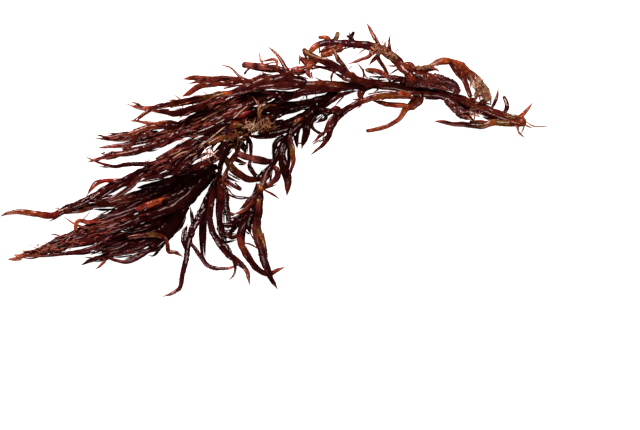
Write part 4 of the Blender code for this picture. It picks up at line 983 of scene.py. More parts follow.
        Frond("side_axis_edge", "amber", Dress("kkwgubwb", crease=0.12), strands("""
    2.2 7.4,13 6.6,8 7.7,3 7.9,-1.6 6.9,-5.2 5.9,-9;
    @0 1.8 blunt 7.4,13 9,15.4 12,17.2
    """)),
        Frond("drooping_edge", "amber", Dress("gbwkkwggugpn", crease=0.12, beads=0.13, wet=0.8), strands("""
    2.2 -6.4,-17 -6.8,-24 -6.5,-30 -4.6,-34.4 -3.6,-40;
    @0 2 blunt -6.4,-17 -5.7,-12.6 -7.4,-10.8
    """), low=strands("""
    gbw 0.7 -4.8,-31 -3.6,-37 -3,-44; bw 0.6 -12.2,-36.8 -8,-44
    """)),
        Frond("main_axis", "wine", Dress("kkwb", wet=0.7, crease=0.06, beads=0.01, fringe=0.3, spread=40.0,
              reach=(1.2, 3.0), fringe_look="wbb"), strands("""
    ubwbwpbwbwpwwwwwkkkk 4.2/3.4/3.7/3.9/3.4/3.1/3.4/3.2/3/2.6/2 blunt round 105.8,15.3 100,16.2 94,18.5
        88,20.9 82,23.2 76,25.3 69,26.9 62,27.8 55,29.2 48,30.5 40,30.9 31,30.2 21,29.3 11,27.6 2,24.2 -6,19
        -13,13 -18,6.5 -21.5,0 -23.4,-6;
    bggugpwbwbr @0 2.2/2.4/2.6/2.7/2.3/1.9/1.7/0.9 103,15.6 97.5,14.8 91.5,15 87,13.7 81,14.2 75,14.5
        70.5,15.4 66.7,15.8;
    rwn @0 1.5 91,19.6 93,24.5 94.1,29.9;
    bpw @0 1.9 blunt 98,17.2 97.7,21.8 96.2,26.4;
    uoun @0 1.8 99,16.8 105.1,19.3 108.7,23.8;
    ttf @0 0.7 twig 104.4,15.4 109.5,13.4 116.4,13.8;
    utn @0 0.7 twig 103,15.6 102.5,11.4 105.4,8.4;
    wwb @0 2.7 blunt 36.6,30.6 36,27.6 36.6,24.8;
    wbuuu @0 2.8 31,30.2 24,31.2 16,31.6 9,32.5
    """), [Branchlets(0, 7, 4, 61, first=0.42, last=0.62, spread=62, width=0.9)], low=strands("""
    kwk 2 21,21.6 26,25.6 31,27.7 35.4,28.5; kpw 1.8 76.6,23.2 80,21.6 86,19.3 92.4,16.8;
    kp 2.5 94,17.4 90.4,17.1 87,17.5; pk 1 84.3,20 84,17.8 83.7,15.2;
    bub 2.4 blunt 96,15.8 101,14.6 105.8,14.6; unub 4 blunt 105.9,15.2 103.8,15.5 101.4,15.9;
    tun 1.1 104,14.6 106.4,13.5 108.6,12.7; utn 0.9 102.4,13.6 102.5,11 104.4,8.9;
    ut 0.8 105,13.8 104.2,11.8 103.4,10.4; gub 1.3 81.8,15.5 86,15.7 90,15.6; ug 0.9 96.5,13.7 102,13.6;
    ww 0.9 63,25.2 67,25 71,25.1; kk 1 64,29.8 69,29.4 74.6,28.2; kw 0.9 23.4,31.2 19.4,32.8 16.5,34.5;
    kk 0.8 49,32.3 52.8,32.3; kw 0.8 41.6,33.3 43,32.8 47.4,33; kw 0.8 40,32.2 40.2,34.6;
    kw 0.7 43.5,32.4 44,34.2; ww 1 36.8,25.8 38,28.4 41,29.3; kk 0.9 29.2,26.3 27,23.9 25.2,21.9
    """)),
        Frond("folded_blade_lower", "wine", Dress("kwpkp", crease=0.3, beads=0.05, net=0.3, net_painted_highlight="n",
              wet=1.0), strands("""
    2.4/3.8/3.8/1.4 71.4,25.6 74.3,22.7 78.3,19.3 83.8,15.9;
    @0 1.4 72.4,25 77.6,21.4 82.2,19 87.6,16.8
    """), low=strands("""
    kp 1 71.4,25.2 71.9,23.2 73,21.6
    """)),
        Frond("folded_blade_upper", "wine", Dress("kwb", crease=0.3, beads=0.05, net=0.3, net_painted_highlight="n",
              wet=1.0), strands("""
    kwbwpw 2.4/4/4.5/4.7/4.4/2.8 blunt flatness=0.5 52.5,31.8 58,33.1 64,33.5 70,32.7 74.8,30.5 77.4,27;
    @0 2.8 55,32.4 62,30.9 69,30.1 74.6,28
    """)),
        Frond("amber_branchlet", "amber", Dress("uoruu", crease=0.08), strands("""
    kbbuooruuuk 3/4.2/3/2/1.9/1.9/1.8/1.5 blunt 59.6,27.4 60.7,24.8 58.2,22.4 55,20.6 52.6,16.9 48.3,14.1
        43.4,12.4 38.3,11.6;
    @0 1.6/2.2/2.1/1.2 57.8,22.9 50.4,22.4 45.6,23.2 41,24.3
    """), low=strands("""
    uo 0.9 48,23.5 51.6,23.3 55.4,23.2; wb 1 56,22.8 57.4,24.4 59,25.2
    """)),
        Frond("side_branch", "russet", Dress("kwr", crease=0.12, beads=0.05, fringe=0.5, reach=(2.0, 5.0)),
              strands("""
    uuugubwwkkwkwbw 1.8/2.6/2.6/2.4/2.6/3/3.2/2.4/1.4/0.9 57.6,26.6 51.5,26.9 46,26.1 40.5,25.3 35,23.2
        30.4,20.6 26.5,17.4 23.8,13.6 22.9,9.6 20.2,5.6 15.1,1.4;
    @0 1.5 23.6,11.8 19.6,10 17.4,7.7 15.5,6.4;
    @0 2.4 25.6,14.6 23.6,12.4 21,10.8;
    @0 2.6 29,19.4 25.6,20.4 22,18.4;
    @0 2.2 28.6,19 26.4,21 22.6,20.6
    """), [Branchlets(0, 4, 4, 71, last=0.5, spread=30, width=0.9)], low=strands("""
    kwbr 2.2 26.4,19.4 23.5,15.5 21.5,12 20.2,8.6; kw 1.2 18.2,15.6 19.6,17 20.8,18.4;
    kkk 4.2 18,20.6 21.6,19.6 25.4,18.8; kw 1 20,8 22.4,10.2; wbu 1.7 59,25.3 52,25.7 44,25;
    kw 2.6 59.6,27 58,25.5 56.8,24.2; bu 0.8 39,26.9 43,27.7 48,28.2; bw 0.8 32.6,24.6 36.4,25.1
    """)),
        Frond("frond_tangled", "russet", Dress("kkwb", fringe=1.2, wet=0.3), strands("""
    kkkwbubb 2.4/4.2/4.6/4.4/3.4/1.4 2.6,20.8 -1.6,17.4 -7,14.2 -13,12 -20,9.6 -27,7 -31.4,5.2;
    kkkwrwbb @0 3.4 1,19.6 -5,20.5 -12,18.6 -19,15 -25,11.6 -31.5,9.4;
    bkk @0 2.4 -8,13 -12,9 -14.8,5 -16.4,1.4;
    @0 1.2 twig -23,8.6 -26,4.6 -24.6,1.4;
    @0 1.2 twig -20,9.6 -22.6,5.4 -26.4,1.8
    """), [Branchlets(0, 5, 6, 81, spread=26)], streaks=strands("""
    buub 2.8 -19.4,12.6 -16.4,14.2 -12.6,13.6; bguub 2.4 -28,5.6 -23.6,7.4 -17.4,9.4;
    nt 1.6 -20.4,5.2 -18.6,5.8 -17,6.2
    """), thickets=thickets("""
    x26 kkk 2/6/6.4/4 blade=1.4/2.4 3,18.6 -4,16 -14,13 -24,9;
    x16 kbub 2/6/6.4/3 top blade=0.6/1.1 1,18 -6,15.4 -16,12.6 -27,8.4
    """)),
        Frond("frond_left", "wine", Dress("kkwkp", wet=0.75, fringe=1.4, fringe_look="kkpw"), strands("""
    kkwkwpkwkwwwbwruub 2.2/3.2/3.6/3.6/3.4/3.6/4.2/3.8/2.8/2.7/2.7/2.4/1 -5,17 -14,13.6 -22,11.2 -29,7.6
        -36,4.2 -43,0.6 -49,-2.6 -55,-5.8 -61,-8.8 -67,-11.6 -73,-14.8 -79,-17.6 -85,-20.4 -90,-22.7 -94.6,-24
        -101,-23 -108,-22.4 -112,-22.9 -115.3,-24.4;
    wrruo @0 1.7 -61,-8.8 -66.8,-9.2 -72.2,-9.6 -76.2,-12.2 -79.3,-16.3;
    wwb @0 2.1 -55,-6 -61,-12.5 -65,-15 -69,-17 -78,-18.5;
    wbr @0 1.8 -52,-4.4 -58.4,-9.4 -62.6,-13.8;
    kwkpwkwrr @0 1.9 -41,1.8 -50,-1.9 -56,-2.4 -62,-2.6 -66,-3.4 -70,-2.9 -75,-1.2 -79.3,0.8;
    kww @0 2 -27,8.8 -34,6.8 -40,3.6 -46,0.2 -53,-3.6;
    kkwwb @0 2.8 -25,9.4 -34,2.4 -42,-1.8 -50,-5.4 -58,-8.8;
    kkwpb @0 2.8 -25,9.6 -30.8,3.6 -35,-1 -40,-4.4 -46,-6.8 -52,-8.2 -57.4,-10.2;
    btf @0 0.7 twig -91,-23 -90.6,-20.9 -92.6,-21.2;
    @0 3.2 -20.6,10.6 -20.6,6 -22.6,2 -26.6,-1 -32,-3.2 -38,-5.2 -45,-7.4
    """), [Branchlets(0, 9, 8, 91, first=0.2, last=0.62, spread=12), Branchlets(6, 5, 7, 92, spread=12)],
         low=strands("""
    wr 0.8 -72.4,-8.8 -75.6,-10 -78.4,-14; kw 0.9 -69.4,-21.9 -74.6,-24.1; kk 2 -22.2,-2.6 -22,-4 -22.2,-6.2;
    kwbw 1.4 -28,8.6 -36,5.4 -43,1.6 -50.4,-1; kkw 2.6 -38,-2 -44,-3.6 -50,-5.2;
    kw 1.9 -49,-6.4 -52,-7.2 -55.4,-8.2; bw 1.1 -68,-15.4 -72,-16.3 -75.4,-17.2;
    kw 0.7 -46,-8.3 -50,-9 -55.4,-9.8; wbw 1.4 -76,-20.9 -82,-22.3 -88.4,-23.3;
    br 1 -74,-1.4 -77,-0.4 -79.6,0.9; wkk 1.2 -50,-0.3 -44,2.9 -38,6.4 -31,9.8
    """), thickets=thickets("""
    x50 kkk 2/5/7/7/6/2.6 blade=1.5/2.6 -14,13.6 -20,9.6 -30,3.6 -40,-0.8 -50,-4.6 -59,-8;
    x20 kkwkp 4/7/7/6/3.4/2.6/1.6 top blade=0.9/1.8 -22,8 -32,3 -42,-1 -52,-4.8 -64,-10 -76,-16 -88,-21.6
    """)),
        Frond("frond_upper_left", "wine", Dress("kkwwbr", fringe=1.5, wet=0.7), strands("""
    kkkwwwwwbbrrn 2.6/3.8/4.4/4.6/4.6/4.2/3/2/0.8 8,26.6 -3,26.6 -11,25.4 -19,22.6 -27,19.4 -34,16.2 -41,12.6
        -47,9.6 -53,8 -58,7 -63,5.6 -68,5.2 -74.4,4.4;
    kwwwwwbbrn @0 2.4/3.2/3/3/2.2/1.4/0.8 -37,14.6 -44,8.4 -50,5.6 -56,3.9 -62,2.6 -66,1.6 -71,0.4 -76,-0.6
        -78.3,-1.5;
    kwbbr @0 2.1 -47,9.6 -54,10 -60,8.6 -66,8 -75.6,8.5;
    kwwbuubrr @0 2.2/2.8/2.6/2.4/2.2/1.8/0.8 -38,14.2 -45,13.7 -51,13.2 -56,12.1 -60,10.4 -65,9.7 -69.4,8.9
        -72.6,9.7;
    wuuon @3 1.5 -41,13.4 -48,14.4 -54,15 -58,15.7 -62,15.7;
    wuo @3 1.6 blunt -38,14.2 -42,15.1 -45.8,15.4 -49,15;
    wwb @3 2 -56,12.8 -58,9.4 -60,5.8 -63.4,3.2;
    kkwp @0 3 -12,25.4 -20,19.6 -28,15.4 -36,11.4 -42,8.8;
    @0 2.4 2,26.6 -8,23.4 -16,20 -22,16.6 -28,13 -34,10.6 -40,8.2 -44,6
    """), [Branchlets(0, 8, 8, 101, first=0.25, spread=14), Branchlets(3, 6, 6, 102, spread=18), Branchlets(1,
         5, 6, 103, spread=15)], low=strands("""
    wb 1 -21.6,29.4 -17,30.4 -13.6,31.2; wr 0.8 -59.6,15.8 -57,17.6 -55,19.4;
    wb 1.4 -49,11.5 -52.6,11.1 -56.4,10.4; wb 0.9 -57,1.9 -61,1.3 -65,0.8;
    wb 0.8 -66,0.3 -68.6,-0.1 -71.4,-0.7; br 0.8 -73,-0.7 -76,-1.1 -78.8,-1.5;
    wb 0.8 -53.6,3 -51,3.2 -48.6,3.9; kwbw 0.9 -40,8.8 -34,9.5 -30,11 -25,13.3 -20,16.4
    """), streaks=strands("""
    kkwkrwkwrbwk 2.4/3/3.2/3/2.4/1.2 -10,26.6 -16.1,23.3 -22,19.9 -28.4,16.6 -35.5,13.4 -41.6,11.4;
    kkkk 2/3.2/1.6 -19,15 -28,11.8 -34.6,9.6; wbgw 2.4 -19,12.2 -16,13.8 -12.2,13.8;
    wgbgbw 2.6 -28,5.8 -23.6,7.8 -17.2,9.8; wrrw 2.2 -17,17 -13,18.4 -9.4,20;
    kwrbw 2.4 -36.4,13.2 -32,14.8 -27.6,16.6; kkwkk 2.8 -27,18.4 -20,21.6 -13,24.6;
    kkkk 2.6 -28,11.6 -21,15.4 -14,18; brub 1.7 -34.9,13.2 -31,14.4 -27.6,15.4;
    brrb 1.5 -22,17.8 -18.6,19 -15,19.6; ggb 2.2 -5.6,20.8 -3,21.8 -0.4,22.8; rr 1.2 -0.8,22 0.8,22.5;
    ab 0.7 -44,21.4 -38.6,22.6
    """), thickets=thickets("""
    x60 kkk 2/5/6/6/6/5.4/3.4 blade=1.5/2.6 0,26 -12,23.6 -22,19.4 -34,13.8 -44,9.4 -55,6.6 -65,4.4;
    x22 kkwkwk 3/4.4/5/6/6/5/2 top blade=0.9/1.9 -4,26 -16,23 -28,18 -40,12.4 -52,7.6 -64,4.6 -74,1.6
    """)),
        Frond("frond_top", "russet", Dress("wbub", fringe=1.0, reach=(2.5, 7.0), fringe_look="wkbn", wet=0.6),
              strands("""
    kwwbwpbgbwbpub 2.8/4.2/4.2/3.6/2.4/2.2/2.4/2.2/1.8/1 14,31.4 5,33.2 -4,32.2 -11,29.6 -18,27.4 -25,26.2
        -32,24.9 -38,24.1 -44,22.7 -49.5,21.5 -53.6,19.5 -56.2,17.4 -58,15.5;
    kwbpbnbo @0 2.2/2.6/2.4/2.4/2.6/1 -8,30.8 -15,32.8 -22,33.4 -28,33.2 -33,33.8 -38.6,33.2;
    kwbwpn @1 1.9 -13,31.6 -20,31.1 -26,31.2 -31,32.1 -36.8,31.2;
    bwbru @2 1.8/2.4/2.6/2.4/1.6 -25,31.2 -29,30.6 -32.4,29.6 -35.4,27.6 -38.6,25.8;
    rnn @0 2.2 -49,21.6 -55,21 -61.7,22.7;
    kkwkwb @0 3.2 -20,27 -29,22.3 -36,20.1 -42,18.8 -48,19.7 -53.5,20.2;
    wbwbwnpnp @0 2/2.6/2.8/2.7/2.8/2.4 blunt 9,32.4 6,35.6 1,37.4 -5,38.4 -10,38.9 -13.8,39.3;
    bwp @6 1.3 blunt -10,38.9 -11.6,36.8 -12.7,35;
    wwbub @0 1.9 9,32.4 4.4,38.3 1.6,43 -3.1,47.2;
    wbu @0 1.1 twig -9.6,30.4 -14.5,34.3 -18.2,37.9 -22.8,39.2;
    btn @6 0.9 twig -5,38.4 -5.9,41.8 -6.2,45.2;
    btf @0 0.8 twig -36,25 -40,25.2 -42.9,27.3;
    kwww @0 3 12,31.6 9,30.4 4,30 -3,30 -9,29.2
    """), [Branchlets(0, 8, 6, 111, first=0.3, spread=20), Branchlets(1, 5, 4, 112, spread=22)],
         low=strands("""
    rn 1.1 -4.4,39.2 -1,40.1 1.4,40.1; bw 0.8 -12.4,35.4 -11.4,37.4; nn 0.5 -6,40.4 -6.1,44.4;
    kw 1.1 24.8,36.6 27,34.6 29.4,33; rbr 1.7 3,36.5 -4,36.9 -10.4,37.5;
    bwwb 2.4 18,31.2 12,30.6 4,30.2 -4,30; wbb 1.5 -28,24.6 -34,23.5 -40.4,21.8; wb 0.8 -44,20.6 -48.4,20.6;
    wb 1.3 -34.6,24.6 -34.2,21.8; wb 1.3 -30.9,25 -30.6,22.2; wb 1.3 -38.6,24 -38.4,21;
    ub 0.8 -50,22.4 -46.6,23.4; wb 0.7 -40,17.7 -37,18.1 -35,18.4; br 0.8 -9.6,33.3 -6.8,34.3 -5.4,36.2;
    br 0.9 -5,36.4 -4.4,35 -3.2,34; br 0.8 -4.6,35 -1,35.5; ww 1.2 -2.5,23.4 -5,22.6 -7.4,21.6
    """), streaks=strands("""
    kwbuwbwk 2.4/2.8/2.8/2.4/1.4 -2.7,35 -6.9,33 -11.6,30.4 -15.8,27.9 -20,25.8;
    ggou 2.4 -26,25.6 -20.4,26.8 -14,28
    """), thickets=thickets("""
    x20 kwb 2/4.6/4.6/2.4 blade=1.2/2 14,31.4 2,31.6 -9,30 -18,27.6;
    x18 kwbw 2.4/4.6/4.6/3/2 top blade=0.7/1.3 10,32 0,32 -10,30 -20,27.4 -34,25;
    x8 wbb 1/2/2 blade=0.8/1.3 -22,24.6 -32,21 -44,19.6
    """)),
        Frond("amber_loop", "amber", Dress("uouo", crease=0.08), strands("""
    1.3 twig 0.6,37.6 1.2,40 -0.4,41.4 -6.2,40.4
    """)),
        Frond("fork_axis", "wine", Dress("wbru", wet=0.6, crease=0.12, fringe=0.6, spread=30.0,
              reach=(2.0, 5.0), fringe_look="brun"), strands("""
    wwbpwbg 2/2.6/2.8/3/2.8/2.6/1.8 blunt 42,31.8 36,32.8 30.6,35.4 26.8,37.9 22,40.1 17,42.2 11.7,45.9;
    wbt @0 1.7 blunt 31,35.8 28,40.2 25.8,43.6 24.4,45.6;
    bbub @0 3.8 blunt 20,41 15.6,39.6 12.9,37.4;
    brb @2 2.2 13.2,38 14.2,35.4 15.6,33;
    bru @2 2.4 14.6,38.8 12,40.6 10.2,43.5;
    wbw @0 1.6 30,36.2 25,36.9 20,38.2 15,39;
    wr @5 1.1 twig 25,36.9 24,34.6 23.9,31.2;
    rr @0 0.8 twig 38.6,32.8 37.3,36.3 34.5,40.6;
    brn @2 2.8 14.2,37.8 10,37.1 5.6,37.8
    """), [Branchlets(0, 4, 3, 121, spread=50, width=0.8)], low=strands("""
    bb 2.5 12.2,45 13,43 13.8,41; wb 1.4 33.8,32.2 29.6,33 28,34.4 25.2,36;
    brb 2.2 14.4,36.4 10.6,35.9 7.4,36.4; bub 3.4 18,41.4 14.6,41 11.4,42.6; br 1 10.3,39 10.6,41.2 10.3,43.8;
    bt 0.9 20.6,42.3 23,42.9 25.6,43.4; bw 1.2 25.6,43 26.2,41.2 27.6,39.4;
    wb 1.3 15.4,37.2 17.4,38 20.4,38.3; bw 1 15.6,36.4 15.7,34.2 16.4,33; wb 0.9 6.8,37.2 8.4,35.4 12.8,35;
    wb 0.8 9.4,34.8 12,33.9 15.4,32.9
    """)),
        Frond("arch_axis", "russet", Dress("bpwb", wet=0.6, fringe=0.4, spread=45.0, reach=(1.2, 3.5),
              fringe_look="wbun"), strands("""
    wbwbwgbgwpwpppppoo 3/4/4/3.8/3.6/3/3/2.8/2.2 blunt flatness=0.75 58.4,30.4 56.4,35.2 52.6,39.5 49,43
        44.5,45.7 38,47.4 31,48 24,48.3 18.8,47.7 14.6,44.6;
    kwun @0 1.9 43.2,46 41.4,51.6 38.4,57.4;
    pwn @0 1.3 47.5,44 48.1,48.5 48.8,52.5;
    kpk @0 1.8 blunt 34.5,47.8 32.2,50.3 33.4,53.2;
    pk @3 1.5 blunt 32.4,50.2 31.2,50.8 30,51.4;
    kgt @0 2.2 blunt 26.4,48.4 26,50.6 26.6,53.2;
    gun @0 1.9 blunt 23.8,48.2 22,50.4 18.2,50.6;
    bbrn @0 1.7 42,46 40.2,43.2 36,41.2 30.6,39.4;
    kbb @0 1.8 42.4,46 42,41.8 39.3,38.8;
    bwb @0 1.7 blunt 43,46 43.4,42.4 45.6,38.6 47.8,35;
    brn @0 1.3 53.6,38.4 50,38.7 46.7,38.9;
    bur @0 2.4 blunt 53.4,38.6 56.8,39.2 59.6,37;
    buo @0 2.2/2.6/2 blunt 30,48 25,44.9 19.2,42.9;
    tf @0 0.8 twig 39,47 37.6,45.6 34.8,43.6
    """), [Branchlets(0, 6, 3, 131, first=0.3, last=0.75, spread=60, width=0.8)], low=strands("""
    bo 0.8 20.4,46.2 24,47; wbw 2.2 26.4,47.2 21.5,45.6 18,43.8; bw 1.4 27.2,44.2 28.6,45.4 30.4,47;
    wpk 1.5 31.3,48 31.4,50.6 31.5,53.4; kw 2.4 43,45.2 41.7,44 40,42.6; bw 1.5 53,38.2 50.6,36.8 48,35;
    kwb 1.1 49,34 44,34 39.6,34.4; kwk 3 55,33.3 50.6,33.7 47.2,35.1; uo 1.4 18.9,46.6 18.9,43.4;
    bt 0.7 26.4,44 28.2,45.6 32.6,46.6; rw 0.7 38.4,37.8 38.7,36.7 43.4,35;
    rw 0.8 37.2,37.8 37.6,35.4 38.8,33.8 40.4,33.8; nn 0.5 46.6,46.4 46.3,48.8; pr 0.9 47.6,46 47.7,49.2
    """)),
        Frond("red_blade", "amber", Dress("wbrbbg", crease=0.08), strands("""
    2.2 blunt 49.6,33 45,35.6 41.6,36.9 38.1,37.1
    """)),
        Frond("worn_blade", "amber", Dress("kwpkwu", crease=0.12, net=0.05), strands("""
    ubtuouubtgtg 1.8/2/2.4/2.8/3.4/3.6/3.8/3.6/2.8 blunt flatness=0.45 59.6,36.6 64.6,38.4 68.6,40.5 73,40.9
        77.8,39 81.4,36 85.2,32.3 88.5,28.2 89.9,23.8;
    kwbwbb @0 2.4 blunt 72.6,41 76,36.8 79.4,33.2 81.1,29 82.4,25.4;
    btb @0 1.6 blunt 83,35.4 83.9,30.6 85.2,27.2 83.6,23.8;
    bbt @0 1.8 blunt 86.4,31.8 86.8,28 88,25.2;
    tt @2 1.3 blunt twig 84,30.4 87.4,28.6;
    uuk @0 1.8 66,39 67.6,37.4 69.3,36
    """), low=strands("""
    bub 1.7 76.6,38.4 80,35.5 82.4,31.6; bu 1.4 67.6,39 71,39.7 74.6,39.5; wbk 3 91,26.6 88.2,24.3 84.8,22.3;
    bk 1.7 81.8,25.3 83.4,25.1 85.2,25; rbrb 1/1.6/1.2/1.8/1.4 57,38.2 59.4,36.3 62.4,36 65.2,37.2 68.2,37;
    bt 1.2 82.6,33.2 82.3,29.4; tt 0.8 84.4,28.2 83.8,25.8; bt 1.6 86,27 86.3,24.2; tb 1.2 91,26.2 90.6,22.2;
    bk 1.6 88,23.4 91.2,22.6
    """)),
        Frond("pale_crust", "straw", Dress("wgbtbgb", crease=0.2, beads=0.1), strands("""
    1.5 blunt 57.2,38 62,38.1 66.6,38.5
    """)),
        Frond("amber_strand", "amber", Dress("wbwgwbwbu"), strands("""
    1.4/1.9/1.9/1.7/1.9/1.2 -62,-33.2 -55.6,-32.4 -49.6,-32.2 -46.3,-33.4 -44.9,-36.2 -44.4,-39.1 -41.6,-39.5
        -38.2,-41.3
    """)),
        Frond("amber_hook", "amber", Dress("brnoo"), strands("""
    1.9 blunt -72.9,-25.9 -77.8,-26.7 -82.6,-26.3 -83.6,-30.5
    """)),
        Frond("amber_scrap", "amber", Dress("bruog", crease=0.2, beads=0.08), strands("""
    2.8 -58,-21.8 -53,-19.4 -48.8,-17.9 -44.8,-16.2
    """)),
    ]


def softened(values: np.ndarray, s: np.ndarray, window: float) -> np.ndarray:
    """Rounds the kinks of a course along a strand, and keeps its two ends.

    Args:
        values: the course at evenly spaced arc lengths.
        s: the arc lengths.
        window: how far the rounding reaches.

    Returns:
        The rounded course.
    """
    reach = int(min(window / (s[1] - s[0]) / 2, (len(s) - 1) // 2))
    if reach < 1:
        return values
    weights = np.hanning(2 * reach + 3)[1:-1]
    before = 2 * values[0] - values[reach:0:-1]
    after = 2 * values[-1] - values[-2:-reach - 2:-1]
    return np.convolve(np.concatenate([before, values, after]), weights / weights.sum(), mode="valid")


@dataclass
class Blank:
    """A straight length of blade, and where each of its vertices lies on it."""

    mesh: bpy.types.Mesh
    rings: int
    ring: np.ndarray
    angle: np.ndarray
    radius: np.ndarray


@dataclass
class BladeStock:
    """Straight round lengths of blade, each modelled once, of which every strand is a bent copy."""

    ring_step: float = 0.45 * MM
    ring_counts: tuple[int, ...] = (7, 9, 11, 13, 16, 19, 23, 27, 32, 38, 46, 55, 66, 79, 95, 114, 136, 164,
                                    196, 236, 284, 340, 410, 512)
    blanks: dict[tuple[int, int], Blank] = field(default_factory=dict)

    def blank(self, length: float, sides: int) -> Blank:
        """Gives the blank for a strand.

        Args:
            length: the strand's length in metres.
            sides: how many flat sides it has round it.

        Returns:
            The blank with rings about ring_step apart.
        """
        wanted = length / self.ring_step
        rings = next((n for n in self.ring_counts if n >= wanted), self.ring_counts[-1])
        if (rings, sides) not in self.blanks:
            self.blanks[rings, sides] = self._model(rings, sides)
        return self.blanks[rings, sides]

    def _model(self, rings: int, sides: int) -> Blank:
        """Models one blank: a unit cylinder, cut across into rings.

        Args:
            rings: how many rings of vertices it has.
            sides: how many flat sides it has.

        Returns:
            The blank.
        """
        bpy.ops.object.select_all(action="DESELECT")
        bpy.ops.mesh.primitive_cylinder_add(vertices=sides, radius=1.0, depth=1.0, end_fill_type="TRIFAN",
                                            location=(0.0, 0.0, 0.0))
        made = bpy.context.object
        bpy.ops.object.mode_set(mode="EDIT")
        bpy.ops.mesh.select_mode(type="EDGE")
        bpy.ops.mesh.select_all(action="DESELECT")
        shape = bmesh.from_edit_mesh(made.data)
        for edge in shape.edges:
            edge.select_set(abs(edge.verts[0].co.z - edge.verts[1].co.z) > 0.5)
        bmesh.update_edit_mesh(made.data)
        bpy.ops.mesh.subdivide(number_cuts=rings - 2)
        bpy.ops.object.mode_set(mode="OBJECT")
        bpy.ops.object.shade_smooth()
        mesh = made.data
        place = np.empty(3 * len(mesh.vertices), np.float32)
        mesh.vertices.foreach_get("co", place)
        x, y, z = place.reshape(-1, 3).T
        bpy.data.objects.remove(made)
        ring = np.rint((z + 0.5) * (rings - 1)).astype(int)
        return Blank(mesh, rings, ring, np.arctan2(y, x), np.hypot(x, y))


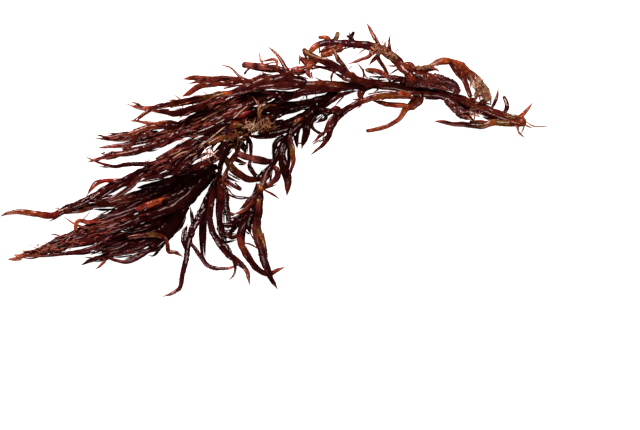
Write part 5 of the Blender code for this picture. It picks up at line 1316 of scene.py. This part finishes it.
@dataclass
class BentBlade:
    """A copy of a blank that is bent along one strand, laid down, creased, tapered and coloured.

    look gives its shades from root to tip. The fields after chance are the measures of its shape and colour.
    Lengths are in metres, apart from bead_steps and lump_steps in millimetres. Those that end in wave are
    lengths over which a thing varies along the strand, and those that end in range hold the middle value of
    a strength, its swing and its most. The rest are shares of a size, angles in radians and counts.
    """

    strand: Strand
    look: str
    sides: int
    stock: BladeStock
    dress: Dress
    chance: np.random.Generator
    wave_shares: tuple[float, ...] = (1.0, 0.61, 0.37)
    wave_stretch: Pair = (0.8, 1.25)
    wave_sum: float = 1.7
    plump: float = 1.1
    swell: float = 0.035
    swell_wave: float = 7 * MM
    sway: float = 0.1
    sway_wave: float = 8 * MM
    sway_start: float = 4 * MM
    bend_rounding: float = 1.0 * MM
    climb_rounding: float = 5.0 * MM
    tip_length: float = 3.0 * MM
    tip_share: float = 0.4
    tip_width: float = 0.16
    tip_power: float = 0.8
    tip_dome: float = 0.9
    root_dome: float = 0.7
    root_width: float = 0.72
    root_length: float = 2.0 * MM
    least_end: float = 0.02
    twist: float = 0.5
    twist_wave: float = 34 * MM
    crease_gap: float = 0.75 * MM
    crease_counts: tuple[int, int] = (2, 7)
    crease_scatter: float = 0.5
    crease_shift: float = 0.55
    crease_wave: float = 17 * MM
    crease_width: float = 1.9
    crease_least: float = 0.02
    depth_range: Triple = (0.75, 0.6, 1.4)
    depth_wave: float = 9 * MM
    bead_steps: Pair = (1.0, 1.35)
    bead_range: Triple = (0.6, 0.7, 1.3)
    bead_wave: float = 7 * MM
    bead_lean: float = 1.2
    bead_shift: float = 2.0
    bead_shift_wave: float = 11 * MM
    lump: float = 0.01
    lump_kinds: int = 5
    lump_lobes: tuple[int, int] = (1, 5)
    lump_steps: Pair = (2.2, 8.0)
    lump_wave: float = 8 * MM
    net_step: float = 1.7 * MM
    net_leans: Pair = (2.0, -3.0)
    net_shift: float = 1.6
    net_wave: float = 7 * MM
    net_width: float = 0.45
    net_least_half: float = 0.8 * MM
    net_painted_highlight_share: float = 0.35
    shade_shift: float = 0.45
    shade_wave: float = 9 * MM
    light_offset: Pair = (-0.25, 0.2)
    light_swings: Pair = (0.3, 0.12)
    light_waves: Pair = (5 * MM, 1.6 * MM)
    # The measures of the light painted on a blade's side edges, which stands for light coming through thin
    # tissue.
    thin_half: float = 1.5 * MM
    thick_painted_edge_share: float = 0.5
    painted_edge_power: int = 4
    painted_edge_light_gain: float = 0.6
    painted_edge_glow: Triple = (0.022, 0.002, 0.001)
    brightest: float = 0.9

    def __post_init__(self) -> None:
        """Works out the arc lengths of the blank's rings and the half widths of the strand there."""
        self.curve = np.array([tuple(p) for p in self.strand.curve])
        steps = np.linalg.norm(np.diff(self.curve, axis=0), axis=1)
        self.arc = np.concatenate([[0.0], np.cumsum(steps)])
        self.length = self.arc[-1]
        self.blank = self.stock.blank(self.length, self.sides)
        self.s = np.linspace(0.0, self.length, self.blank.rings)
        self.half = np.interp(self.s, self.arc[self.strand.rings], self.strand.half_width)

    def wander(self, wave: float) -> np.ndarray:
        """Gives a smooth random course along the strand, between about -1 and 1.

        Args:
            wave: the length of its longest waves.

        Returns:
            One value for each ring.
        """
        total = np.zeros_like(self.s)
        for share in self.wave_shares:
            period = wave * share * self.chance.uniform(*self.wave_stretch)
            total += share * np.sin(2 * np.pi * (self.s / period + self.chance.uniform()))
        return total / self.wave_sum

    def patchy(self, measures: Triple, wave: float) -> np.ndarray:
        """Gives a strength along the strand, of a middle value, a swing and a most, and never below 0."""
        middle, swing, most = measures
        return np.clip(middle + swing * self.wander(wave), 0.0, most)

    def ends(self) -> np.ndarray:
        """Gives the share of the width that is left at each ring, where the two ends draw in."""
        ahead = self.length - self.s
        left = np.clip(ahead / min(self.length * self.tip_share, self.tip_length), 0.0, 1.0)
        if self.strand.blunt:
            dome = np.clip(ahead / (self.tip_dome * self.half), 0.0, 1.0)
            share = np.sqrt(1.0 - (1.0 - dome) ** 2)
        else:
            share = self.tip_width + (1 - self.tip_width) * left ** self.tip_power
        if self.strand.on >= 0:
            share *= self.root_width + (1 - self.root_width) * np.clip(self.s / self.root_length, 0.0, 1.0)
        else:
            dome = np.clip(self.s / (self.root_dome * self.half), 0.0, 1.0)
            share *= np.sqrt(1.0 - (1.0 - dome) ** 2)
        return np.maximum(share, self.least_end)

    def section(self) -> np.ndarray:
        """Gives each vertex's share of the plain radius, with creases, swellings and a rough skin."""
        blank, ring = self.blank, self.blank.ring
        angle = blank.angle + (self.twist * self.wander(self.twist_wave))[ring]
        rho = np.ones_like(angle)
        creases = int(np.clip(round(2 * self.half.max() / self.crease_gap), *self.crease_counts))
        turn = self.chance.uniform(0, 2 * np.pi)
        for k in range(creases):
            middle = turn + 2 * np.pi * (k + self.crease_scatter * self.chance.uniform(-1, 1)) / creases
            path_angle = middle + self.crease_shift * self.wander(self.crease_wave)
            depth = self.dress.crease * self.patchy(self.depth_range, self.depth_wave)
            off = np.angle(np.exp(1j * (angle - path_angle[ring])))
            rho -= depth[ring] * np.exp(-(off / (self.crease_width / creases + self.crease_least)) ** 2)
        strength = self.dress.beads * self.patchy(self.bead_range, self.bead_wave)
        step = self.chance.uniform(*self.bead_steps) * MM
        phase = 2 * np.pi * self.s / step + self.bead_shift * self.wander(self.bead_shift_wave)
        lean = self.chance.uniform(-self.bead_lean, self.bead_lean)
        rho += strength[ring] * np.sin(phase[ring] + lean * np.sin(angle + turn))
        for _ in range(self.lump_kinds):
            lobes = self.chance.integers(*self.lump_lobes)
            step = self.chance.uniform(*self.lump_steps) * MM
            course = 2 * np.pi * (self.s / step + self.chance.uniform()) + self.wander(self.lump_wave)
            rho += self.lump * np.sin(course[ring] + lobes * angle)
        return rho

    def net(self) -> np.ndarray:
        """Gives how much of a ridge of a slanted fine net each vertex is, from 0 to 1."""
        ridge = np.zeros_like(self.blank.angle)
        for lean in self.net_leans:
            course = np.pi * self.s / self.net_step + self.net_shift * self.wander(self.net_wave)
            across = np.sin(course[self.blank.ring] + lean * self.blank.angle)
            ridge = np.maximum(ridge, np.exp(-(across / self.net_width) ** 2))
        return ridge

    def tint(self) -> np.ndarray:
        """Gives each vertex's colour and alpha up to brightest, with painted light on the side edges."""
        shades = np.array([SHADES[letter] for letter in self.look])
        count = len(self.look)
        place = self.s / self.length * (count - 1) + self.shade_shift * self.wander(self.shade_wave)
        place = np.clip(place, 0, count - 1)
        along = np.stack([np.interp(place, np.arange(count), shades[:, k]) for k in range(3)], axis=1)
        light = self.chance.uniform(*self.light_offset)
        for swing, wave in zip(self.light_swings, self.light_waves):
            light = light + swing * self.wander(wave)
        along *= np.exp(light)[:, None]
        colour = np.ones((len(self.blank.ring), 4))
        # Painted light: side edges brightened and warmed in the base colour, for light through the thin
        # blade.
        thin = 1.0 if self.half.max() < self.thin_half else self.thick_painted_edge_share
        edge = thin * np.abs(np.cos(self.blank.angle)) ** self.painted_edge_power
        glow = edge[:, None] * np.array(self.painted_edge_glow)
        colour[:, :3] = along[self.blank.ring] * (1 + self.painted_edge_light_gain * edge)[:, None] + glow
        return np.clip(colour, 0.0, self.brightest)

    def make(self) -> Object:
        """Makes the blade as an object of its own, with its place in its mesh."""
        s, arc, half, strand, blank = self.s, self.arc, self.half, self.strand, self.blank
        ring = blank.ring
        thick = np.maximum(strand.least, half * strand.flatness)
        height = softened(np.interp(s, arc[strand.rings], strand.height), s, self.climb_rounding)
        x, y = (softened(np.interp(s, arc, self.curve[:, k]), s, self.bend_rounding) for k in (0, 1))
        run = np.stack([np.gradient(x), np.gradient(y)], axis=1)
        run /= np.linalg.norm(run, axis=1)[:, None]
        drawn_in = self.ends()
        sway = self.sway * half * self.wander(self.sway_wave) * np.clip(s / self.sway_start, 0, 1)
        swell = self.plump + self.swell * self.wander(self.swell_wave)
        rho = self.section()
        netted = self.dress.net and half.max() > self.net_least_half
        ridge = self.net() if netted else np.zeros_like(rho)
        rho = (rho + self.dress.net * (ridge - 0.5)) * blank.radius
        side = np.cos(blank.angle) * rho * (half * drawn_in * swell)[ring] + sway[ring]
        rise = np.sin(blank.angle) * rho * (thick * drawn_in * swell)[ring]
        made = bpy.data.objects.new("strand", blank.mesh.copy())
        bpy.context.scene.collection.objects.link(made)
        place = np.empty((len(ring), 3))
        place[:, 0] = x[ring] + run[ring, 1] * side - SPRIG_CENTRE[0]
        place[:, 1] = y[ring] - run[ring, 0] * side - SPRIG_CENTRE[1]
        place[:, 2] = np.maximum(height[ring] + rise, FLOOR_GAP)
        made.data.vertices.foreach_set("co", place.ravel())
        tint = self.tint()
        # Painted highlight: the net's ridges are drawn toward a pale rose shade, for glints on the wet
        # crinkles.
        if self.dress.net_painted_highlight:
            shade = np.array(SHADES[self.dress.net_painted_highlight])
            tint[:, :3] += self.net_painted_highlight_share * ridge[:, None] * (shade - tint[:, :3])
        colour = made.data.color_attributes.new("colour", "FLOAT_COLOR", "POINT")
        colour.data.foreach_set("color", tint.ravel())
        grain = made.data.attributes.new("grain", "FLOAT_VECTOR", "POINT")
        start = self.chance.uniform(0, 100)
        along = np.stack([start + s[ring] / MM, side / MM, rise / MM], axis=1)
        grain.data.foreach_set("vector", along.ravel())
        return made


def set_sockets(node: Node, values: dict[str, float | tuple[float, ...]]) -> None:
    """Sets a node's own input sockets by their names."""
    for name, value in values.items():
        node.inputs[name].default_value = value


def plain_material(name: str, values: dict[str, float | tuple[float, ...]]) -> tuple[Material, Node]:
    """Makes a material whose shader has constant values.

    Args:
        name: the material's name.
        values: the value of each of the shader's sockets that is set.

    Returns:
        The material and its shader node.
    """
    made = bpy.data.materials.new(name)
    made.use_nodes = True
    shader = made.node_tree.nodes["Principled BSDF"]
    set_sockets(shader, values)
    return made, shader


@dataclass(frozen=True)
class WetSkin:
    """The finish of a wet plant: coloured along its blades, streaked, glossy and a little see-through.

    subsurface is how much light the flesh lets through, roughness that of the flesh, coat how much water lies
    on it, streaks how far fine streaks along the blade lighten and darken it, relief how strong the fine
    wrinkles of the flesh are, and ripple how uneven the film of water is. Waves are to a millimetre along,
    across and through the blade, and depths in metres.
    """

    name: str
    subsurface: float
    roughness: Pair = (0.42, 0.6)
    coat: float = 0.7
    streaks: float = 0.6
    relief: float = 0.3
    ripple: float = 0.35
    noise_middle: Pair = (0.3, 0.7)
    streak_waves: Triple = (0.3, 2.6, 2.6)
    blotch_waves: Triple = (0.9, 0.9, 0.9)
    gloss_waves: Triple = (0.5, 1.2, 1.2)
    wrinkle_waves: Triple = (0.9, 2.4, 2.4)
    film_waves: Triple = (0.5, 1.5, 1.5)
    blotches: Pair = (0.55, 1.5)
    wrinkle_depth: float = 0.2 * MM
    film_depth: float = 0.25 * MM

    def _noise(self, made: Material, stretch: Triple, detail: float) -> Node:
        """Adds a noise that is stretched along the blade.

        Args:
            made: the material.
            stretch: its waves to a millimetre along, across and through the blade.
            detail: how fine it goes.

        Returns:
            The noise node.
        """
        nodes, links = made.node_tree.nodes, made.node_tree.links
        grain = nodes.new("ShaderNodeAttribute")
        grain.attribute_name = "grain"
        scaled = nodes.new("ShaderNodeVectorMath")
        scaled.operation = "MULTIPLY"
        scaled.inputs[1].default_value = stretch
        noise = nodes.new("ShaderNodeTexNoise")
        set_sockets(noise, {"Scale": 1.0, "Detail": detail})
        links.new(grain.outputs["Vector"], scaled.inputs[0])
        links.new(scaled.outputs[0], noise.inputs["Vector"])
        return noise

    def _fed(self, made: Material, kind: str, feed: tuple[Node, str], values: dict[str, float]) -> Node:
        """Adds a node that another one feeds.

        Args:
            made: the material.
            kind: the type of the new node.
            feed: the node whose first output feeds it, and the socket that is fed.
            values: the values of its other sockets.

        Returns:
            The new node.
        """
        node = made.node_tree.nodes.new(kind)
        set_sockets(node, values)
        made.node_tree.links.new(feed[0].outputs[0], node.inputs[feed[1]])
        return node

    def _ranged(self, made: Material, source: Node, low: float, high: float) -> Node:
        """Maps the middle of a noise to a range of values, and gives the node."""
        return self._fed(made, "ShaderNodeMapRange", (source, "Value"),
                         {"From Min": self.noise_middle[0], "From Max": self.noise_middle[1],
                          "To Min": low, "To Max": high})

    def _bump(self, made: Material, source: Node, strength: float, depth: float) -> Node:
        """Makes relief of a noise, of a strength from 0 to 1 and a depth in metres, and gives the node."""
        return self._fed(made, "ShaderNodeBump", (source, "Height"),
                         {"Strength": strength, "Distance": depth})

    def material(self) -> Material:
        """Builds the material."""
        made, shader = plain_material(self.name, {
            "IOR": 1.4, "Specular IOR Level": 0.05, "Specular Tint": (1.0, 0.42, 0.36, 1.0),
            "Coat Weight": self.coat, "Coat Roughness": 0.06, "Subsurface Weight": self.subsurface,
            "Subsurface Radius": (1.0, 0.22, 0.1), "Subsurface Scale": 1.2 * MM})
        nodes, links = made.node_tree.nodes, made.node_tree.links
        colour = nodes.new("ShaderNodeAttribute")
        colour.attribute_name = "colour"
        low, high = 1 - self.streaks, 1 + self.streaks
        streak = self._ranged(made, self._noise(made, self.streak_waves, 4.0), low, high)
        blotch = self._ranged(made, self._noise(made, self.blotch_waves, 4.0), *self.blotches)
        both = nodes.new("ShaderNodeMath")
        both.operation = "MULTIPLY"
        links.new(streak.outputs[0], both.inputs[0])
        links.new(blotch.outputs[0], both.inputs[1])
        shaded = nodes.new("ShaderNodeVectorMath")
        shaded.operation = "SCALE"
        links.new(colour.outputs["Color"], shaded.inputs[0])
        links.new(both.outputs[0], shaded.inputs["Scale"])
        gloss = self._ranged(made, self._noise(made, self.gloss_waves, 2.0), *self.roughness)
        wrinkles = self._bump(made, self._noise(made, self.wrinkle_waves, 3.0), self.relief,
                              self.wrinkle_depth)
        film = self._bump(made, self._noise(made, self.film_waves, 2.0), self.ripple, self.film_depth)
        for node, socket in ((shaded, "Base Color"), (gloss, "Roughness"), (wrinkles, "Normal"),
                             (film, "Coat Normal")):
            links.new(node.outputs[0], shader.inputs[socket])
        return made


SKINS = {
    "wine": WetSkin("wine_wet", 0.06),
    "russet": WetSkin("russet_wet", 0.18),
    "amber": WetSkin("amber_wet", 0.4),
    "straw": WetSkin("straw_dry", 0.25, roughness=(0.35, 0.6), coat=0.15, relief=0.6),
}


def joined(parts: list[Object], name: str) -> Object:
    """Joins several objects into the first of them.

    Args:
        parts: the objects.
        name: the name of the whole.

    Returns:
        The one object that is left.
    """
    bpy.ops.object.select_all(action="DESELECT")
    for part in parts:
        part.select_set(True)
    bpy.context.view_layer.objects.active = parts[0]
    bpy.ops.object.join()
    parts[0].name = parts[0].data.name = name
    return parts[0]


@dataclass
class FrondPiece:
    """One frond of the sprig, dressed: every strand and finer blade of it, joined in one mesh.

    A strand wider than stout has the first number of sides, one wider than slim the second, and a slimmer one
    the third. The blades that fill gaps have fewer.
    """

    frond: Frond
    stock: BladeStock
    chance: np.random.Generator
    stout: float = 1.7 * MM
    slim: float = 0.95 * MM
    sides: tuple[int, int, int] = (18, 12, 8)
    fill_sides: tuple[int, int, int] = (12, 9, 7)

    def blade(self, strand: Strand, sides: tuple[int, int, int]) -> Object:
        """Makes the blade of one strand.

        Args:
            strand: the strand, laid down.
            sides: how many sides a stout, a slimmer and a slim one have.

        Returns:
            The blade as an object of its own.
        """
        width = 2 * max(strand.half_width)
        count = sides[0] if width > self.stout else sides[1] if width > self.slim else sides[2]
        look = strand.look or self.frond.dress.look
        return BentBlade(strand, look, count, self.stock, self.frond.dress, self.chance).make()

    def build(self) -> Object:
        """Makes the piece, which stands for the frond's node."""
        frond = self.frond
        parts = [self.blade(strand, self.sides) for strand in [*frond.strands, *frond.finer]]
        parts += [self.blade(strand, self.fill_sides) for strand in [*frond.low, *frond.streaks]]
        piece = joined(parts, frond.name + "_wet")
        skin = replace(SKINS[frond.colour], name=frond.name + "_skin", coat=frond.dress.wet)
        piece.data.materials.append(skin.material())
        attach(piece, "root")
        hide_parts(self.frond.name)
        return piece


@dataclass
class LooseFibres:
    """Fine fibres, hairs and pale strands of painted highlight that lie on the sprig, each set joined in one
    mesh. They stand for no node.
    """

    heap: Heap
    stock: BladeStock
    chance: np.random.Generator
    skin: Material
    dress: Dress = Dress(crease=0.0)
    slope: float = 0.3
    least_lift: float = 0.4 * MM
    most_lift: float = 0.8 * MM
    sides: int = 6

    def build(self, name: str, fibres: list[Strand], draw: random.Random) -> Object:
        """Lays the fibres on the heap, one a little higher than another, and makes the piece.

        Args:
            name: the piece's name.
            fibres: the fibres, drawn in plan.
            draw: the source of how high each lies over the heap.

        Returns:
            The piece.
        """
        parts = []
        for one in fibres:
            lift = self.least_lift + self.most_lift * draw.random() ** 2
            rest = eased(one.needed(self.heap, 0.0, 0.5), one.arc, self.slope)
            one.height = [min(z + lift, max(z, ROOF)) for z in rest]
            parts.append(BentBlade(one, one.look, self.sides, self.stock, self.dress, self.chance).make())
        piece = joined(parts, name)
        piece.data.materials.append(self.skin)
        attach(piece, "root")
        return piece


@dataclass(frozen=True)
class Lamp:
    """A softbox over the table, which points at the middle of the sprig."""

    name: str
    place: Triple
    size: Pair
    power: float
    colour: Triple = (1.0, 0.74, 0.69)

    def build(self, target: Vector) -> None:
        """Adds the lamp.

        Args:
            target: the place that it points at.
        """
        light = bpy.data.lights.new(self.name, "AREA")
        light.shape = "RECTANGLE"
        light.size, light.size_y = self.size
        light.energy = self.power
        light.color = self.colour
        made = bpy.data.objects.new(self.name, light)
        bpy.context.scene.collection.objects.link(made)
        made.location = self.place
        made.rotation_euler = (target - Vector(self.place)).to_track_quat("-Z", "Y").to_euler()


@dataclass
class Studio:
    """The pale table, the soft light and the camera straight above."""

    table_side: float = 1.6
    dome_radius: float = 9.0
    table_glow: float = 0.98
    sky: float = 0.02
    view_centre: Pair = (18.61 * MM, -23.23 * MM)
    view_width: float = 268.8 * MM
    camera_height: float = 5.0
    sensor: float = 36.0
    lamps: tuple[Lamp, ...] = (
        Lamp("key_softbox", (-0.40, 0.62, 0.80), (0.40, 0.40), 13.0),
        Lamp("fill_softbox", (0.55, 0.45, 0.85), (0.35, 0.35), 6.8),
        Lamp("low_softbox", (-0.10, -0.75, 0.70), (0.40, 0.26), 3.4),
    )

    def table(self) -> Object:
        """Makes the pale table top, which glows a little so that hardly a shadow shows on it."""
        bpy.ops.object.select_all(action="DESELECT")
        bpy.ops.mesh.primitive_plane_add(size=self.table_side, location=(*self.view_centre, 0.0))
        table = bpy.context.object
        table.name = "pale_table"
        bpy.ops.object.transform_apply(location=True)
        made, _ = plain_material("pale_table", {
            "Base Color": (0.93, 0.93, 0.93, 1.0), "Roughness": 0.8, "Specular IOR Level": 0.1,
            "Emission Color": (1.0, 1.0, 1.0, 1.0), "Emission Strength": self.table_glow})
        table.data.materials.append(made)
        table.visible_glossy = table.visible_diffuse = False
        return table

    def dome(self) -> Object:
        """Makes the pale dome far round the table, which is seen only and lights nothing."""
        bpy.ops.object.select_all(action="DESELECT")
        bpy.ops.mesh.primitive_uv_sphere_add(segments=48, ring_count=24, radius=self.dome_radius)
        dome = bpy.context.object
        dome.name = "pale_dome"
        made, _ = plain_material("pale_dome", {
            "Base Color": (0.0, 0.0, 0.0, 1.0), "Specular IOR Level": 0.0,
            "Emission Color": (1.0, 1.0, 1.0, 1.0), "Emission Strength": self.table_glow})
        dome.data.materials.append(made)
        dome.visible_glossy = dome.visible_diffuse = dome.visible_transmission = dome.visible_shadow = False
        return dome

    def light(self) -> None:
        """Adds the lamps and the weak light from all round."""
        world = bpy.data.worlds.new("soft_room")
        world.use_nodes = True
        sky = world.node_tree.nodes["Background"]
        set_sockets(sky, {"Color": (1.0, 1.0, 1.0, 1.0), "Strength": self.sky})
        bpy.context.scene.world = world
        for lamp in self.lamps:
            lamp.build(Vector((0.0, 0.0, 0.0)))

    def camera(self) -> None:
        """Adds the camera, which looks straight down with +Y up in the picture."""
        data = bpy.data.cameras.new("camera")
        data.sensor_width = self.sensor
        data.lens = self.sensor * self.camera_height / self.view_width
        made = bpy.data.objects.new("camera", data)
        bpy.context.scene.collection.objects.link(made)
        made.location = (*self.view_centre, self.camera_height)
        bpy.context.scene.camera = made

    def build(self) -> None:
        """Sets up the whole studio."""
        self.table()
        self.dome()
        self.light()
        self.camera()
        bpy.context.scene.view_settings.view_transform = "Standard"


def main() -> None:
    """Draws the sprig, lays it down, dresses it frond by frond and lights it."""
    logging.basicConfig(level=logging.INFO, format="%(name)s: %(message)s")
    Studio().build()
    heap, stock, fronds = Heap(), BladeStock(), drawn_fronds()
    for number, frond in enumerate(fronds):
        frond.grow()
        frond.lay_down(heap)
        piece = FrondPiece(frond, stock, np.random.default_rng(number + 1)).build()
        LOG.info("%s: %d strands, %d finer blades, %d fills, %d faces", piece.name, len(frond.strands),
                 len(frond.finer), len(frond.low) + len(frond.streaks), len(piece.data.polygons))
    draw = random.Random("fibres")
    loose = LooseFibres(heap, stock, np.random.default_rng(len(fronds) + 1), SKINS["straw"].material())
    # These include the pale strands that paint highlight lines along creases.
    hairs = [fibre(hair.route, hair.width, hair.look) for hair in HAIRS_AND_PAINTED_HIGHLIGHTS]
    for hair in hairs:
        hair.draw()
    for name, fibres in (("tangled_fibres", [one for tuft in TUFTS for one in tuft.grow(draw)]),
                         ("stray_hairs", hairs)):
        piece = loose.build(name, fibres, draw)
        LOG.info("%s: %d fibres, %d faces", piece.name, len(fibres), len(piece.data.polygons))
    bpy.context.view_layer.update()


if __name__ == "__main__":
    main()
